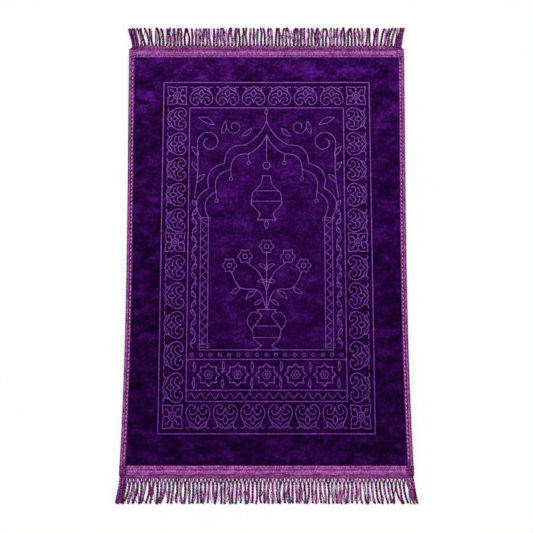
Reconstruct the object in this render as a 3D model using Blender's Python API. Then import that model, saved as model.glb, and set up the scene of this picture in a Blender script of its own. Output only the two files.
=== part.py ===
"""Plush prayer rug with a pressed design, woven end tapes, bound long sides and knotted fringes.

The rug lies flat with its pile up and its length along Y. Its underside is at Z = 0 and the
origin is under the middle of the whole piece, fringes included. All sizes are in metres.
"""

import math

import bmesh
import bpy
import numpy as np
from mathutils import Vector
from mathutils.geometry import delaunay_2d_cdt

# Overall sizes
RUG_WIDTH = 0.800
CLOTH_LENGTH = 1.212
FAR_FRINGE = 0.0666
NEAR_FRINGE = 0.0762
FAR_EDGE = (CLOTH_LENGTH + NEAR_FRINGE - FAR_FRINGE) / 2
NEAR_EDGE = FAR_EDGE - CLOTH_LENGTH
CLOTH_MIDDLE = (FAR_EDGE + NEAR_EDGE) / 2
GAP = 0.0003

# The long sides draw in towards the middle of the rug, more so on the near half
WAIST_DEPTH = 0.0070
WAIST_SKEW = 0.65
SIDE_STATIONS = 14

# Plush cloth: full height inside, pressed thin where a tape holds it
PILE_TOP = 0.0075
RIM_BOTTOM = 0.0014
RIM_TOP = 0.0044
UNDERSIDE_RAMP = 0.008
SHOULDER_INSET = 0.0016
SHOULDER_HEIGHT = 0.0062
CREST_INSET = 0.0040

# Tapes folded round the edges
TAPE_WALL = 0.0016
SLOT_BOTTOM = RIM_BOTTOM - GAP
SLOT_TOP = RIM_TOP + GAP
BINDING_WIDTH = 0.0164
BINDING_UNDER = 0.0148
END_TAPE_WIDTH = 0.0266
END_TAPE_UNDER = 0.0246

# Side binding in section: distance in from its outer edge, and height. It runs from the
# underside round the soft outer roll, over the stitched groove and back along the slot.
BINDING_SECTION = (
    (BINDING_UNDER, 0.0),
    (0.0028, 0.0),
    (0.0007, 0.0013),
    (0.0, 0.0032),
    (0.0011, 0.0053),
    (0.0034, 0.0068),
    (0.0060, 0.0071),
    (0.0079, 0.0064),
    (0.0094, 0.0056),
    (0.0112, 0.0063),
    (0.0140, 0.0064),
    (BINDING_WIDTH, 0.0056),
    (BINDING_WIDTH, SLOT_TOP),
    (TAPE_WALL, SLOT_TOP),
    (TAPE_WALL, SLOT_BOTTOM),
    (BINDING_UNDER, SLOT_BOTTOM),
)

# End tape in section, also from its outer edge: three soft ribs and the stitched groove
END_SECTION = (
    (END_TAPE_UNDER, 0.0),
    (0.0018, 0.0),
    (0.0, 0.0014),
    (0.0, 0.0040),
    (0.0026, 0.0059),
    (0.0058, 0.0067),
    (0.0092, 0.0064),
    (0.0122, 0.0068),
    (0.0158, 0.0064),
    (0.0182, 0.0055),
    (0.0204, 0.0062),
    (0.0236, 0.0066),
    (END_TAPE_WIDTH, 0.0058),
    (END_TAPE_WIDTH, SLOT_TOP),
    (END_TAPE_UNDER, SLOT_TOP),
)

# Pressed lines: a valley with sloping sides
LINE_HALF = 0.0024
LINE_DEPTH = 0.0026
FRAME_HALF = 0.0028
MERGE = 0.0002

# Frame lines round the border band
OUTER_X = 0.2966
INNER_X = 0.2212
OUTER_FAR = 0.5087
OUTER_NEAR = -0.4896
INNER_FAR = 0.4324
INNER_NEAR = -0.4027

# Border motifs: hearts and rosettes on one pitch, drawn out along the near half
COLUMN_X = 0.2578
FAR_ROW = 0.4690
NEAR_ROW = -0.4438
HEARTS_ACROSS = 6
ACROSS_PITCH = 0.0751
HEARTS_DOWN = 5
FAR_HEART_FIRST = 0.3999
FAR_PITCH = 0.0743
MIDDLE_ROSETTE = 0.0401
NEAR_HEART_FIRST = -0.0324
NEAR_PITCH = 0.0787
NEAR_PITCH_GROWTH = 0.0030
HEART_WIDTH = 0.0668
HEART_HEIGHT = 0.0558
NEAR_HEART_HEIGHT = 0.0664
ROSETTE_WIDTH = 0.0568
ROSETTE_LENGTH = 0.0550
NEAR_ROSETTE_LENGTH = 0.0664

# Heart, right half, in a square 2 wide and 2 high with its tip up
HEART_ARM = (
    (0.0, 1.0),
    (0.34, 0.64),
    (0.74, 0.36),
    (0.99, -0.14),
    (0.95, -0.62),
    (0.62, -0.98),
    (0.34, -0.90),
    (0.38, -0.66),
)
HEART_CURL = ((0.03, -0.76), (0.16, -0.36), (0.42, -0.16), (0.66, -0.28), (0.70, -0.52))
HEART_BUD = ((0.0, 0.62), (0.21, 0.22), (0.0, -0.14), (-0.21, 0.22), (0.0, 0.62))

# Rosette, one petal of four, in a square 2 by 2
ROSETTE_PETAL = ((0.0, 0.72), (0.24, 0.96), (0.97, 0.97), (0.96, 0.24), (0.72, 0.0))
ROSETTE_RING = 0.34

# Niche: double columns and a cusped arch that ends in a point
COLUMN_LINES = (0.186, 0.164)
COLUMN_FOOT = -0.262
ARCH_OUTER = ((0.186, 0.112), (0.164, 0.196), (0.120, 0.268), (0.062, 0.322), (0.0, 0.394))
ARCH_INNER = ((0.164, 0.112), (0.143, 0.186), (0.102, 0.250), (0.052, 0.296), (0.0, 0.352))
CUSP_BULGE = 0.26
POINT_BULGE = -0.10

# Hanging lamp and vase: right-hand profiles from top to bottom
LAMP = (
    (0.010, 0.232),
    (0.016, 0.206),
    (0.040, 0.182),
    (0.044, 0.150),
    (0.018, 0.122),
    (0.026, 0.104),
)
LAMP_RING_CENTRE = (0.0, 0.262)
LAMP_RING_RADIUS = 0.010
VASE = (
    (0.026, -0.150),
    (0.013, -0.168),
    (0.040, -0.204),
    (0.036, -0.232),
    (0.014, -0.250),
    (0.030, -0.262),
)
STEM = ((0.0, -0.150), (0.0, 0.010))
LOW_BRANCH = ((0.0, -0.150), (0.022, -0.098), (0.074, -0.088), (0.100, -0.044))
HIGH_BRANCH = ((0.0, -0.098), (0.020, -0.048), (0.052, -0.020))
SIDE_BLOSSOMS = ((0.104, -0.026), (0.060, 0.000))
TOP_BLOSSOM = (0.0, 0.028)
BLOSSOM_RADIUS = 0.018

# Scroll in each upper corner, and the band of stars under the niche
SCROLL_STEM = ((0.204, 0.168), (0.196, 0.246), (0.198, 0.330))
SCROLL_CENTRE = (0.164, 0.330)
SCROLL_RADIUS = 0.034
SCROLL_END_RADIUS = 0.014
SCROLL_TURN = 400
STAR_BAND = (-0.288, -0.372)
STAR_COUNT = 5
STAR_PITCH = 0.080
STAR_RADIUS = 0.031
STAR_WAIST = 0.72
STAR_POINTS = 8

# Knotted fringes: length of heading, of crossing yarns, and how far the roots stand in
STRANDS = 74
FAR_HEADING = 0.0060
FAR_LADDER = 0.0070
FAR_ROOT_INSET = 0.0090
FAR_SPLAY = 0.0165
NEAR_HEADING = 0.0082
NEAR_LADDER = 0.0112
NEAR_ROOT_INSET = 0.0020
NEAR_SPLAY = 0.0130
SPLAY_REACH = 0.090
HEADING_THICKNESS = 0.0030
HEADING_CELLS = 6
ROOT_SHARE = 0.36
NOTCH_SHARE = 0.22
APEX_SHARE = 0.80
STRAND_WIDTH = 0.0056
STRAND_HEIGHT = 0.0040
STRAND_ROWS = 2
STRAND_CROWN = 0.15
STRAND_TIP = 0.55
STRAND_WANDER = 0.0022
TIP_CUT = 0.0044

# Finish colours as linear red, green, blue
PLUSH_COLOUR = (0.020, 0.003, 0.060)
TAPE_COLOUR = (0.275, 0.063, 0.275)
FRINGE_COLOUR = (0.110, 0.020, 0.100)


def clear_scene():
    """Empty the scene before modelling."""
    for old in list(bpy.data.objects):
        bpy.data.objects.remove(old, do_unlink=True)


def finish(name, colour, roughness):
    """A plain Principled finish."""
    material = bpy.data.materials.new(name)
    material.use_nodes = True
    shader = material.node_tree.nodes["Principled BSDF"]
    shader.inputs["Base Color"].default_value = (*colour, 1.0)
    shader.inputs["Roughness"].default_value = roughness
    shader.inputs["Metallic"].default_value = 0.0
    return material


def add_solid(name, points, faces, material):
    """One object from points and faces, with its faces turned outwards."""
    mesh = bpy.data.meshes.new(name)
    mesh.from_pydata([tuple(map(float, point)) for point in points], [], faces)
    shape = bmesh.new()
    shape.from_mesh(mesh)
    bmesh.ops.recalc_face_normals(shape, faces=shape.faces)
    shape.to_mesh(mesh)
    shape.free()
    mesh.materials.append(material)
    solid = bpy.data.objects.new(name, mesh)
    bpy.context.scene.collection.objects.link(solid)
    return solid


# ---------------------------------------------------------------- outline of the rug


def half_width(y):
    """Half the rug's width at a place along its length: straight sides less a soft waist."""
    t = np.clip((y - CLOTH_MIDDLE) / (CLOTH_LENGTH / 2), -1, 1)
    return RUG_WIDTH / 2 - WAIST_DEPTH * (1 - t * t) * (1 - WAIST_SKEW * t)


def outline_loop(side_inset, end_inset):
    """Counter-clockwise loop of the rug's outline, drawn in by an inset at sides and ends."""
    ys = np.linspace(NEAR_EDGE + end_inset, FAR_EDGE - end_inset, SIDE_STATIONS)
    xs = half_width(ys) - side_inset
    right = np.column_stack([xs, ys])
    left = np.column_stack([-xs, ys])[::-1]
    return np.vstack([right, left])


# ---------------------------------------------------------------- strokes of the design


def smooth(points, steps):
    """Catmull-Rom curve through the points, with a number of steps in each span."""
    knots = np.array(points, float)
    padded = np.vstack([2 * knots[0] - knots[1], knots, 2 * knots[-1] - knots[-2]])
    t = np.linspace(0, 1, steps, endpoint=False)[:, None]
    spans = []
    for a, b, c, d in zip(padded, padded[1:], padded[2:], padded[3:]):
        bend = (2 * a - 5 * b + 4 * c - d) * t**2 + (3 * b - a - 3 * c + d) * t**3
        spans.append(0.5 * (2 * b + (c - a) * t + bend))
    return np.vstack(spans + [knots[-1:]])


def scroll(centre, start_radius, end_radius, turn, steps):
    """Points on a spiral that starts to the right of its centre and turns anticlockwise."""
    angles = np.radians(np.linspace(0, turn, steps + 1))
    radii = np.linspace(start_radius, end_radius, steps + 1)[:, None]
    return np.array(centre) + radii * np.column_stack([np.cos(angles), np.sin(angles)])


def ring(centre, radius, steps):
    """A closed ring, its first point repeated at the end."""
    return scroll(centre, radius, radius, 360, steps)


def mirrored(strokes):
    """The strokes and their images across the line x = 0."""
    return strokes + [stroke * (-1, 1) for stroke in strokes]


def cusped(points, steps):
    """Chain of arcs between cusps, each standing off its chord, and the last one drawn in."""
    spans = []
    for i, (start, end) in enumerate(zip(points, points[1:])):
        a, b = np.array(start), np.array(end)
        bulge = CUSP_BULGE if i < len(points) - 2 else POINT_BULGE
        outward = np.array([b[1] - a[1], a[0] - b[0]])
        t = np.linspace(0, 1, steps, endpoint=False)[:, None]
        spans.append(a + (b - a) * t + outward * bulge * 4 * t * (1 - t))
    return np.vstack(spans + [np.array([points[-1]])])


def turned_outline(profile):
    """Closed outline of a turned shape, from its right-hand profile."""
    right = np.array(profile)
    left = (right * (-1, 1))[::-1]
    return np.vstack([right, left, right[:1]])


def heart_strokes():
    """Heart of two curled arms, with a curl and a bud inside."""
    halves = [np.array(HEART_ARM), np.array(HEART_CURL)]
    return mirrored(halves) + [np.array(HEART_BUD)]


def rosette_strokes():
    """Four petals round a ring."""
    quarters = ((1, 1), (-1, 1), (-1, -1), (1, -1))
    petals = [np.array(ROSETTE_PETAL) * signs for signs in quarters]
    return petals + [ring((0, 0), ROSETTE_RING, 8)]


def star_strokes(centre):
    """Eight-pointed star."""
    corners = 2 * STAR_POINTS
    angles = np.radians(np.arange(corners + 1) * 360 / corners)
    radii = STAR_RADIUS * np.where(np.arange(corners + 1) % 2 == 0, 1, STAR_WAIST)
    star = np.column_stack([radii * np.cos(angles), radii * np.sin(angles)])
    return [star + np.array(centre)]


def placed(strokes, centre, width, height, quarter_turns=0):
    """Strokes of a 2 by 2 motif, sized, turned by quarter turns and moved to a centre."""
    angle = quarter_turns * math.pi / 2
    cosine, sine = round(math.cos(angle)), round(math.sin(angle))
    turn = np.array([[cosine, sine], [-sine, cosine]])
    size = np.array([width / 2, height / 2])
    return [(stroke * size) @ turn + np.array(centre) for stroke in strokes]


def heart_column():
    """Centre and length along Y of each heart down one side."""
    hearts = [(FAR_HEART_FIRST - i * FAR_PITCH, HEART_WIDTH) for i in range(HEARTS_DOWN)]
    y = NEAR_HEART_FIRST
    for i in range(HEARTS_DOWN):
        pitch = NEAR_PITCH + i * NEAR_PITCH_GROWTH
        hearts.append((y, HEART_WIDTH * pitch / FAR_PITCH))
        y -= pitch
    return hearts


def border_strokes():
    """Hearts with their tips outwards, and rosettes at the corners and half way down."""
    heart, rosette = heart_strokes(), rosette_strokes()
    strokes = []
    for i in range(HEARTS_ACROSS):
        x = (i - (HEARTS_ACROSS - 1) / 2) * ACROSS_PITCH
        strokes += placed(heart, (x, FAR_ROW), HEART_WIDTH, HEART_HEIGHT)
        strokes += placed(heart, (x, NEAR_ROW), HEART_WIDTH, NEAR_HEART_HEIGHT, 2)
    for side, turns in ((-1, 1), (1, 3)):
        x = side * COLUMN_X
        for y, length in heart_column():
            strokes += placed(heart, (x, y), length, HEART_HEIGHT, turns)
        for y in (FAR_ROW, MIDDLE_ROSETTE):
            strokes += placed(rosette, (x, y), ROSETTE_WIDTH, ROSETTE_LENGTH)
        strokes += placed(rosette, (x, NEAR_ROW), ROSETTE_WIDTH, NEAR_ROSETTE_LENGTH)
    return strokes


def frame_strokes():
    """The two frame lines, closed rectangles outside and inside the border band."""
    frames = []
    for x, far, near in ((OUTER_X, OUTER_FAR, OUTER_NEAR), (INNER_X, INNER_FAR, INNER_NEAR)):
        frames.append(np.array([(-x, near), (x, near), (x, far), (-x, far), (-x, near)]))
    return frames


def niche_strokes():
    """Every main stroke inside the inner frame line."""
    right = [cusped(ARCH_OUTER, 3), cusped(ARCH_INNER, 3)]
    for x, springing in ((COLUMN_LINES[0], ARCH_OUTER[0][1]), (COLUMN_LINES[1], ARCH_INNER[0][1])):
        right.append(np.array([(x, COLUMN_FOOT), (x, springing)]))
    right.append(scroll(SCROLL_CENTRE, SCROLL_RADIUS, SCROLL_END_RADIUS, SCROLL_TURN, 12))
    right.append(np.array(SCROLL_STEM))
    right.append(smooth(LOW_BRANCH, 2))
    right.append(smooth(HIGH_BRANCH, 2))
    right += [ring(centre, BLOSSOM_RADIUS, 8) for centre in SIDE_BLOSSOMS]
    strokes = mirrored(right)
    foot = COLUMN_LINES[0]
    strokes.append(np.array([(-foot, COLUMN_FOOT), (foot, COLUMN_FOOT)]))
    strokes += [np.array([(-INNER_X, y), (INNER_X, y)]) for y in STAR_BAND]
    for i in range(STAR_COUNT):
        x = (i - (STAR_COUNT - 1) / 2) * STAR_PITCH
        strokes += star_strokes((x, sum(STAR_BAND) / 2))
    strokes += [turned_outline(LAMP), turned_outline(VASE)]
    strokes += [ring(LAMP_RING_CENTRE, LAMP_RING_RADIUS, 6), ring(TOP_BLOSSOM, BLOSSOM_RADIUS, 8)]
    chain_foot = (0.0, LAMP_RING_CENTRE[1] + LAMP_RING_RADIUS)
    strokes += [np.array(STEM), np.array([chain_foot, ARCH_INNER[-1]])]
    return strokes


# ---------------------------------------------------------------- plush cloth


def lane(stroke, offset):
    """The stroke moved sideways by an offset, with mitred corners."""
    along = np.diff(stroke, axis=0)
    along /= np.linalg.norm(along, axis=1, keepdims=True)
    closed = np.allclose(stroke[0], stroke[-1])
    before = np.vstack([along[-1:] if closed else along[:1], along])
    after = np.vstack([along, along[:1] if closed else along[-1:]])
    tangent = before + after
    tangent /= np.maximum(np.linalg.norm(tangent, axis=1, keepdims=True), 1e-9)
    normal = np.column_stack([-tangent[:, 1], tangent[:, 0]])
    mitre = np.clip((tangent * before).sum(axis=1, keepdims=True), 0.6, 1)
    return stroke + normal * offset / mitre


def beyond(end, inner, reach):
    """The point a little past a stroke's end."""
    away = end - inner
    return end + away / np.linalg.norm(away) * reach


def groove_lanes(strokes, half):
    """The bottom and both edges of each pressed line, its edges closed round an open end."""
    chains = []
    for stroke in strokes:
        left, right = lane(stroke, half), lane(stroke, -half)
        if np.allclose(stroke[0], stroke[-1]):
            chains += [stroke, left, right]
            continue
        start = beyond(stroke[0], stroke[1], half)
        end = beyond(stroke[-1], stroke[-2], half)
        chains += [stroke, np.vstack([start, left, end, right[::-1], start])]
    return chains


def distance_to(points, strokes):
    """Distance from each point to the nearest segment of any stroke."""
    nearest = np.full(len(points), np.inf)
    for stroke in strokes:
        for a, b in zip(stroke, stroke[1:]):
            along = b - a
            t = np.clip((points - a) @ along / (along @ along), 0, 1)
            away = np.linalg.norm(points - a - t[:, None] * along, axis=1)
            nearest = np.minimum(nearest, away)
    return nearest


def chain_edges(border, chains):
    """Points and edges for the triangulation, with points that fall together made one."""
    points = [tuple(point) for point in border]
    known = {}
    edges = []
    for chain in chains:
        indices = []
        for point in chain:
            key = tuple(np.round(point / MERGE).astype(int))
            if key not in known:
                known[key] = len(points)
                points.append(tuple(point))
            indices.append(known[key])
        edges += [(a, b) for a, b in zip(indices, indices[1:]) if a != b]
    return points, edges


def pressed_face(border):
    """The pile's top face inside its border loop, with the design pressed in.

    It returns the points, the triangles, and which point is each point of the border.
    """
    lines, frames = border_strokes() + niche_strokes(), frame_strokes()
    chains = groove_lanes(lines, LINE_HALF) + groove_lanes(frames, FRAME_HALF)
    points, edges = chain_edges(border, chains)
    loop = list(range(len(border)))
    flat = [Vector(point) for point in points]
    places, _, triangles, sources, _, owners = delaunay_2d_cdt(flat, edges, [loop], 1, MERGE, True)
    places = np.array([tuple(place) for place in places])
    triangles = [face for face, inside in zip(triangles, owners) if inside]
    line_share = 1 - distance_to(places, lines) / LINE_HALF
    frame_share = 1 - distance_to(places, frames) / FRAME_HALF
    depth = LINE_DEPTH * np.clip(np.maximum(line_share, frame_share), 0, 1)
    rim = {source: index for index, found in enumerate(sources) for source in found}
    return np.column_stack([places, PILE_TOP - depth]), triangles, [rim[i] for i in loop]


def pile_panel(material):
    """The plush cloth: one sheet, thin at its held rim, with the design pressed into its pile."""
    edge = TAPE_WALL + GAP
    side, end = BINDING_WIDTH + GAP, END_TAPE_WIDTH + GAP
    levels = (
        (side + UNDERSIDE_RAMP, end + UNDERSIDE_RAMP, 0.0),
        (side, end, RIM_BOTTOM),
        (edge, edge, RIM_BOTTOM),
        (edge, edge, RIM_TOP),
        (side, end, RIM_TOP),
        (side + SHOULDER_INSET, end + SHOULDER_INSET, SHOULDER_HEIGHT),
    )
    top, top_faces, rim = pressed_face(outline_loop(side + CREST_INSET, end + CREST_INSET))
    points, rings = [], []
    for side_inset, end_inset, height in levels:
        loop = outline_loop(side_inset, end_inset)
        rings.append(range(len(points), len(points) + len(loop)))
        points += [(x, y, height) for x, y in loop]
    first = len(points)
    points += [tuple(point) for point in top]
    rings.append([first + i for i in rim])
    faces = [list(rings[0])[::-1]]
    count = len(rim)
    for lower, upper in zip(rings, rings[1:]):
        for i in range(count):
            j = (i + 1) % count
            faces.append((lower[i], lower[j], upper[j], upper[i]))
    faces += [tuple(first + i for i in face) for face in top_faces]
    return add_solid("pile_panel", points, faces, material)


# ---------------------------------------------------------------- tapes


def swept(name, sections, material):
    """A solid through a row of equal-length closed sections, with flat ends."""
    sections = np.array(sections)
    stations, count = sections.shape[:2]
    last = (stations - 1) * count
    faces = [list(range(count))[::-1], list(range(last, last + count))]
    for low in range(0, last, count):
        for i in range(count):
            j = (i + 1) % count
            faces.append((low + i, low + j, low + count + j, low + count + i))
    return add_solid(name, sections.reshape(-1, 3), faces, material)


def side_binding(name, side, material):
    """Tape folded round one long edge, following the waist of the rug."""
    clear = END_TAPE_WIDTH + GAP
    sections = []
    for y in np.linspace(NEAR_EDGE + clear, FAR_EDGE - clear, SIDE_STATIONS):
        edge = half_width(y)
        sections.append([(side * (edge - inset), y, height) for inset, height in BINDING_SECTION])
    return swept(name, sections, material)


def end_tape(name, edge_y, inward, material):
    """Tape folded round one short edge, its two ends turned in to close the corners."""
    reach = RUG_WIDTH / 2
    slot = (
        (TAPE_WALL, SLOT_BOTTOM),
        (TAPE_WALL, SLOT_TOP),
        (2 * END_TAPE_WIDTH, SLOT_TOP),
        (2 * END_TAPE_WIDTH, SLOT_BOTTOM),
    )
    pieces = []
    for suffix, section, half in (("", END_SECTION, reach), ("_slot", slot, reach - TAPE_WALL)):
        ends = []
        for x in (-half, half):
            ends.append([(x, edge_y + inward * inset, height) for inset, height in section])
        pieces.append(swept(name + suffix, ends, material))
    tape, cutter = pieces
    cutter.hide_render = True
    cutter.display_type = "WIRE"
    pocket = tape.modifiers.new("Pocket", "BOOLEAN")
    pocket.operation = "DIFFERENCE"
    pocket.object = cutter
    return tape


# ---------------------------------------------------------------- fringes


class Plate:
    """A flat-bottomed solid drawn from above: points with a height, and the faces between."""

    def __init__(self, edge_y, outward):
        self.edge_y = edge_y
        self.outward = outward
        self.bottom = []
        self.top = []
        self.faces = []

    def point(self, x, out, height, crown=0.0):
        """Add a point so far out from the edge; crown moves its upper copy sideways."""
        y = self.edge_y + self.outward * out
        self.bottom.append((x, y, 0.0))
        self.top.append((x + crown, y, height))
        return len(self.bottom) - 1

    def face(self, corners):
        """Add a face, wound the same way round at both ends of the rug."""
        self.faces.append(corners if self.outward < 0 else corners[::-1])

    def solid(self, name, material):
        """Close the plate with an underside and with walls along its free edges."""
        count = len(self.bottom)
        edges = {(a, b) for face in self.faces for a, b in zip(face, face[1:] + face[:1])}
        free = sorted((a, b) for a, b in edges if (b, a) not in edges)
        walls = [(a, b, count + b, count + a) for a, b in free]
        under = [face[::-1] for face in self.faces]
        over = [[count + i for i in face] for face in self.faces]
        return add_solid(name, self.bottom + self.top, under + over + walls, material)


def wander(index, row):
    """A steady, uneven value between -1 and 1 for each strand and row."""
    return math.sin(index * 2.399 + row * 1.7) * math.cos(index * 0.731 - row * 2.3)


def fringe_roots(plate, xs, heading, ladder):
    """Heading strip with its roots: left, middle and right point of each root."""
    half_root = ROOT_SHARE * (xs[1] - xs[0]) / 2
    roots = []
    for x in xs:
        low, high = max(x - half_root, xs[0]), min(x + half_root, xs[-1])
        left = plate.point(low, heading, HEADING_THICKNESS)
        middle = plate.point(x, heading + NOTCH_SHARE * ladder, HEADING_THICKNESS)
        right = plate.point(high, heading, HEADING_THICKNESS)
        roots.append((left, middle, right))
    starts = list(range(0, STRANDS, HEADING_CELLS)) + [STRANDS]
    backs = {i: plate.point(xs[i], GAP, HEADING_THICKNESS) for i in starts}
    for first, last in zip(starts, starts[1:]):
        middle = [index for root in roots[first + 1 : last] for index in root]
        start = roots[first] if first == 0 else roots[first][1:]
        end = roots[last] if last == STRANDS else roots[last][:2]
        plate.face([backs[last], backs[first], *start, *middle, *end])
    return roots


def fringe_strand(plate, index, x, roots, apex_out, knot_out, length, lean):
    """One knot, fed by yarn from the root on each side, and the strand below it."""
    half = STRAND_WIDTH / 2
    crown = STRAND_WIDTH * STRAND_CROWN
    apex = plate.point(x, apex_out, STRAND_HEIGHT)
    left = plate.point(x - half, knot_out, STRAND_HEIGHT, crown)
    right = plate.point(x + half, knot_out, STRAND_HEIGHT, -crown)
    plate.face([roots[0][2], roots[0][1], left, apex])
    plate.face([roots[1][1], roots[1][0], apex, right])
    plate.face([apex, left, right])
    for row in range(1, STRAND_ROWS + 1):
        share = row / STRAND_ROWS
        size = STRAND_TIP if row == STRAND_ROWS else 1
        cut = TIP_CUT * abs(wander(index, STRAND_ROWS + 1)) if row == STRAND_ROWS else 0
        out = knot_out + (length - cut - knot_out) * share
        middle = x + (lean + STRAND_WANDER * wander(index, row)) * share
        next_left = plate.point(middle - half * size, out, STRAND_HEIGHT * size, crown * size)
        next_right = plate.point(middle + half * size, out, STRAND_HEIGHT * size, -crown * size)
        plate.face([right, left, next_left, next_right])
        left, right = next_left, next_right


def fringe(name, edge_y, outward, root_inset, heading, ladder, length, splay, material):
    """Heading strip with a row of knotted strands, standing clear of the end tape.

    The yarns leave the heading at roots between the strands and cross over to the knots, so
    that a small open triangle stands over each knot. Near a corner the strands lean outwards.
    """
    plate = Plate(edge_y, outward)
    half = RUG_WIDTH / 2 - root_inset
    xs = np.linspace(-half, half, STRANDS + 1)
    roots = fringe_roots(plate, xs, heading, ladder)
    apex_out, knot_out = heading + APEX_SHARE * ladder, heading + ladder
    for index in range(STRANDS):
        x = (xs[index] + xs[index + 1]) / 2
        near_corner = max(0.0, 1 - (half - abs(x)) / SPLAY_REACH)
        lean = math.copysign(splay * near_corner**1.5, x)
        pair = roots[index : index + 2]
        fringe_strand(plate, index, x, pair, apex_out, knot_out, length, lean)
    return plate.solid(name, material)


def main():
    """Model the rug."""
    clear_scene()
    plush = finish("plush", PLUSH_COLOUR, 0.9)
    tape = finish("woven_tape", TAPE_COLOUR, 0.6)
    yarn = finish("fringe_yarn", FRINGE_COLOUR, 0.7)
    pile_panel(plush)
    side_binding("binding_left", -1, tape)
    side_binding("binding_right", 1, tape)
    end_tape("end_tape_far", FAR_EDGE, -1, tape)
    end_tape("end_tape_near", NEAR_EDGE, 1, tape)
    far = (FAR_ROOT_INSET, FAR_HEADING, FAR_LADDER, FAR_FRINGE, FAR_SPLAY)
    near = (NEAR_ROOT_INSET, NEAR_HEADING, NEAR_LADDER, NEAR_FRINGE, NEAR_SPLAY)
    fringe("fringe_far", FAR_EDGE, 1, *far, yarn)
    fringe("fringe_near", NEAR_EDGE, -1, *near, yarn)


main()
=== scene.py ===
"""Dresses the prayer rug: plush pile with a pressed design, folded tapes, stitches and fringes.

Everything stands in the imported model's frame: metres, the rug's length along Y, its pile up and
its underside on the floor at Z = 0. Every new piece is a surface worked out as whole arrays.
"""

import logging
import math
from abc import ABC, abstractmethod
from dataclasses import dataclass
from enum import Enum

import bpy
import numpy as np
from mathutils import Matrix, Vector
from mathutils.geometry import delaunay_2d_cdt


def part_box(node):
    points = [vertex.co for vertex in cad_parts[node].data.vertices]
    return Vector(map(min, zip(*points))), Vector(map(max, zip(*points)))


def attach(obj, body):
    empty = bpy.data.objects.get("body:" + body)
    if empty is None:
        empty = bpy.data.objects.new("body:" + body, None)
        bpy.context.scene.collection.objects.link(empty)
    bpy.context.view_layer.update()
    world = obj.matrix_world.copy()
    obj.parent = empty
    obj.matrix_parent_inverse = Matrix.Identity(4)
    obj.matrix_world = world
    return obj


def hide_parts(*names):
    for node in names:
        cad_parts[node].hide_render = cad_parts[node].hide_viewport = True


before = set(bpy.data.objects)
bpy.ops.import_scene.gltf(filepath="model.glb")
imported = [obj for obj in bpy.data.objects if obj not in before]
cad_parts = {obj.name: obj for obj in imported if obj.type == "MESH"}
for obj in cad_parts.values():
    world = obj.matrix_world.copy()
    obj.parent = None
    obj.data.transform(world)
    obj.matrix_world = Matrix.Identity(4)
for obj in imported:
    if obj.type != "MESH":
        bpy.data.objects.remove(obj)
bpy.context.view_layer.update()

Array = np.ndarray
Pair = tuple[float, float]
Triple = tuple[float, float, float]
Bands = tuple[Pair, ...]

LOG = logging.getLogger("prayer_rug")
MM = 0.001
SPACING = 0.3 * MM  # how far apart the solids stand
FULL_TURN = 2 * math.pi

# ------------------------------------------------------------------ tables of the design

# Heart of the border, right half, in a square 2 wide and 2 high with its tip up
HEART_ARM = (
    *((0.0, 1.0), (0.34, 0.64), (0.74, 0.36), (0.96, -0.14), (0.93, -0.62)),
    *((0.62, -0.97), (0.34, -0.92), (0.24, -0.74), (0.38, -0.64)),
)
HEART_SHOULDER = ((0.22, 0.93), (0.44, 0.84), (0.62, 0.70), (0.74, 0.42))
HEART_HOOK = ((0.62, 0.70), (0.70, 0.85), (0.84, 0.94), (0.97, 0.88))
HEART_LEAF = ((0.20, 0.20), (0.36, 0.22), (0.52, 0.16), (0.64, 0.04))
HEART_CURL = (
    *((0.0, -0.76), (0.08, -0.50), (0.24, -0.24), (0.44, -0.17)),
    *((0.62, -0.26), (0.70, -0.44), (0.62, -0.56)),
)
HEART_BUD = ((0.0, 0.62), (0.17, 0.36), (0.17, 0.12), (0.0, -0.14))

# Rosette of the border, one petal of four and half of its edge, in a square 2 by 2
ROSETTE_PETAL = ((0.0, 0.70), (0.09, 0.84), (0.24, 0.92), (0.60, 0.93), (0.97, 0.97))
ROSETTE_CURL = (
    *((0.32, 0.32), (0.42, 0.46), (0.46, 0.62)),
    *((0.60, 0.68), (0.68, 0.58), (0.58, 0.50)),
)
ROSETTE_NOTCH = ((0.0, 0.70), (0.0, 0.42))
ROSETTE_RINGS = (0.36, 0.15)

# Niche: cusped arch on double columns, and what hangs and stands in it
ARCH_OUTER = ((0.186, 0.112), (0.164, 0.196), (0.120, 0.268), (0.062, 0.322), (0.0, 0.394))
ARCH_INNER = ((0.164, 0.112), (0.143, 0.186), (0.102, 0.250), (0.052, 0.296), (0.0, 0.352))
LAMP = (
    *((0.010, 0.232), (0.016, 0.206), (0.040, 0.182)),
    *((0.044, 0.150), (0.018, 0.122), (0.026, 0.104)),
)
LAMP_BANDS = ((0.034, 0.188), (0.043, 0.158))
LAMP_DROP = ((0.0, 0.104), (0.006, 0.092), (0.0, 0.078))
VASE = (
    *((0.026, -0.150), (0.013, -0.168), (0.040, -0.204)),
    *((0.036, -0.232), (0.014, -0.250), (0.030, -0.262)),
)
VASE_HANDLE = ((0.016, -0.162), (0.040, -0.158), (0.054, -0.182), (0.041, -0.208))
VASE_BANDS = ((0.037, -0.196), (0.038, -0.228))
STEM = ((0.0, -0.150), (0.0, 0.010))
LOW_BRANCH = ((0.0, -0.150), (0.022, -0.098), (0.074, -0.088), (0.100, -0.044))
HIGH_BRANCH = ((0.0, -0.098), (0.020, -0.048), (0.052, -0.020))
BLOSSOMS = ((0.104, -0.026), (0.060, 0.000), (0.0, 0.028))
SCROLL_STEM = ((0.204, 0.168), (0.196, 0.246), (0.198, 0.330))
SCROLL_CENTRE = (0.164, 0.330)
SMALL_SCROLL_CENTRE = (0.092, 0.376)

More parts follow.
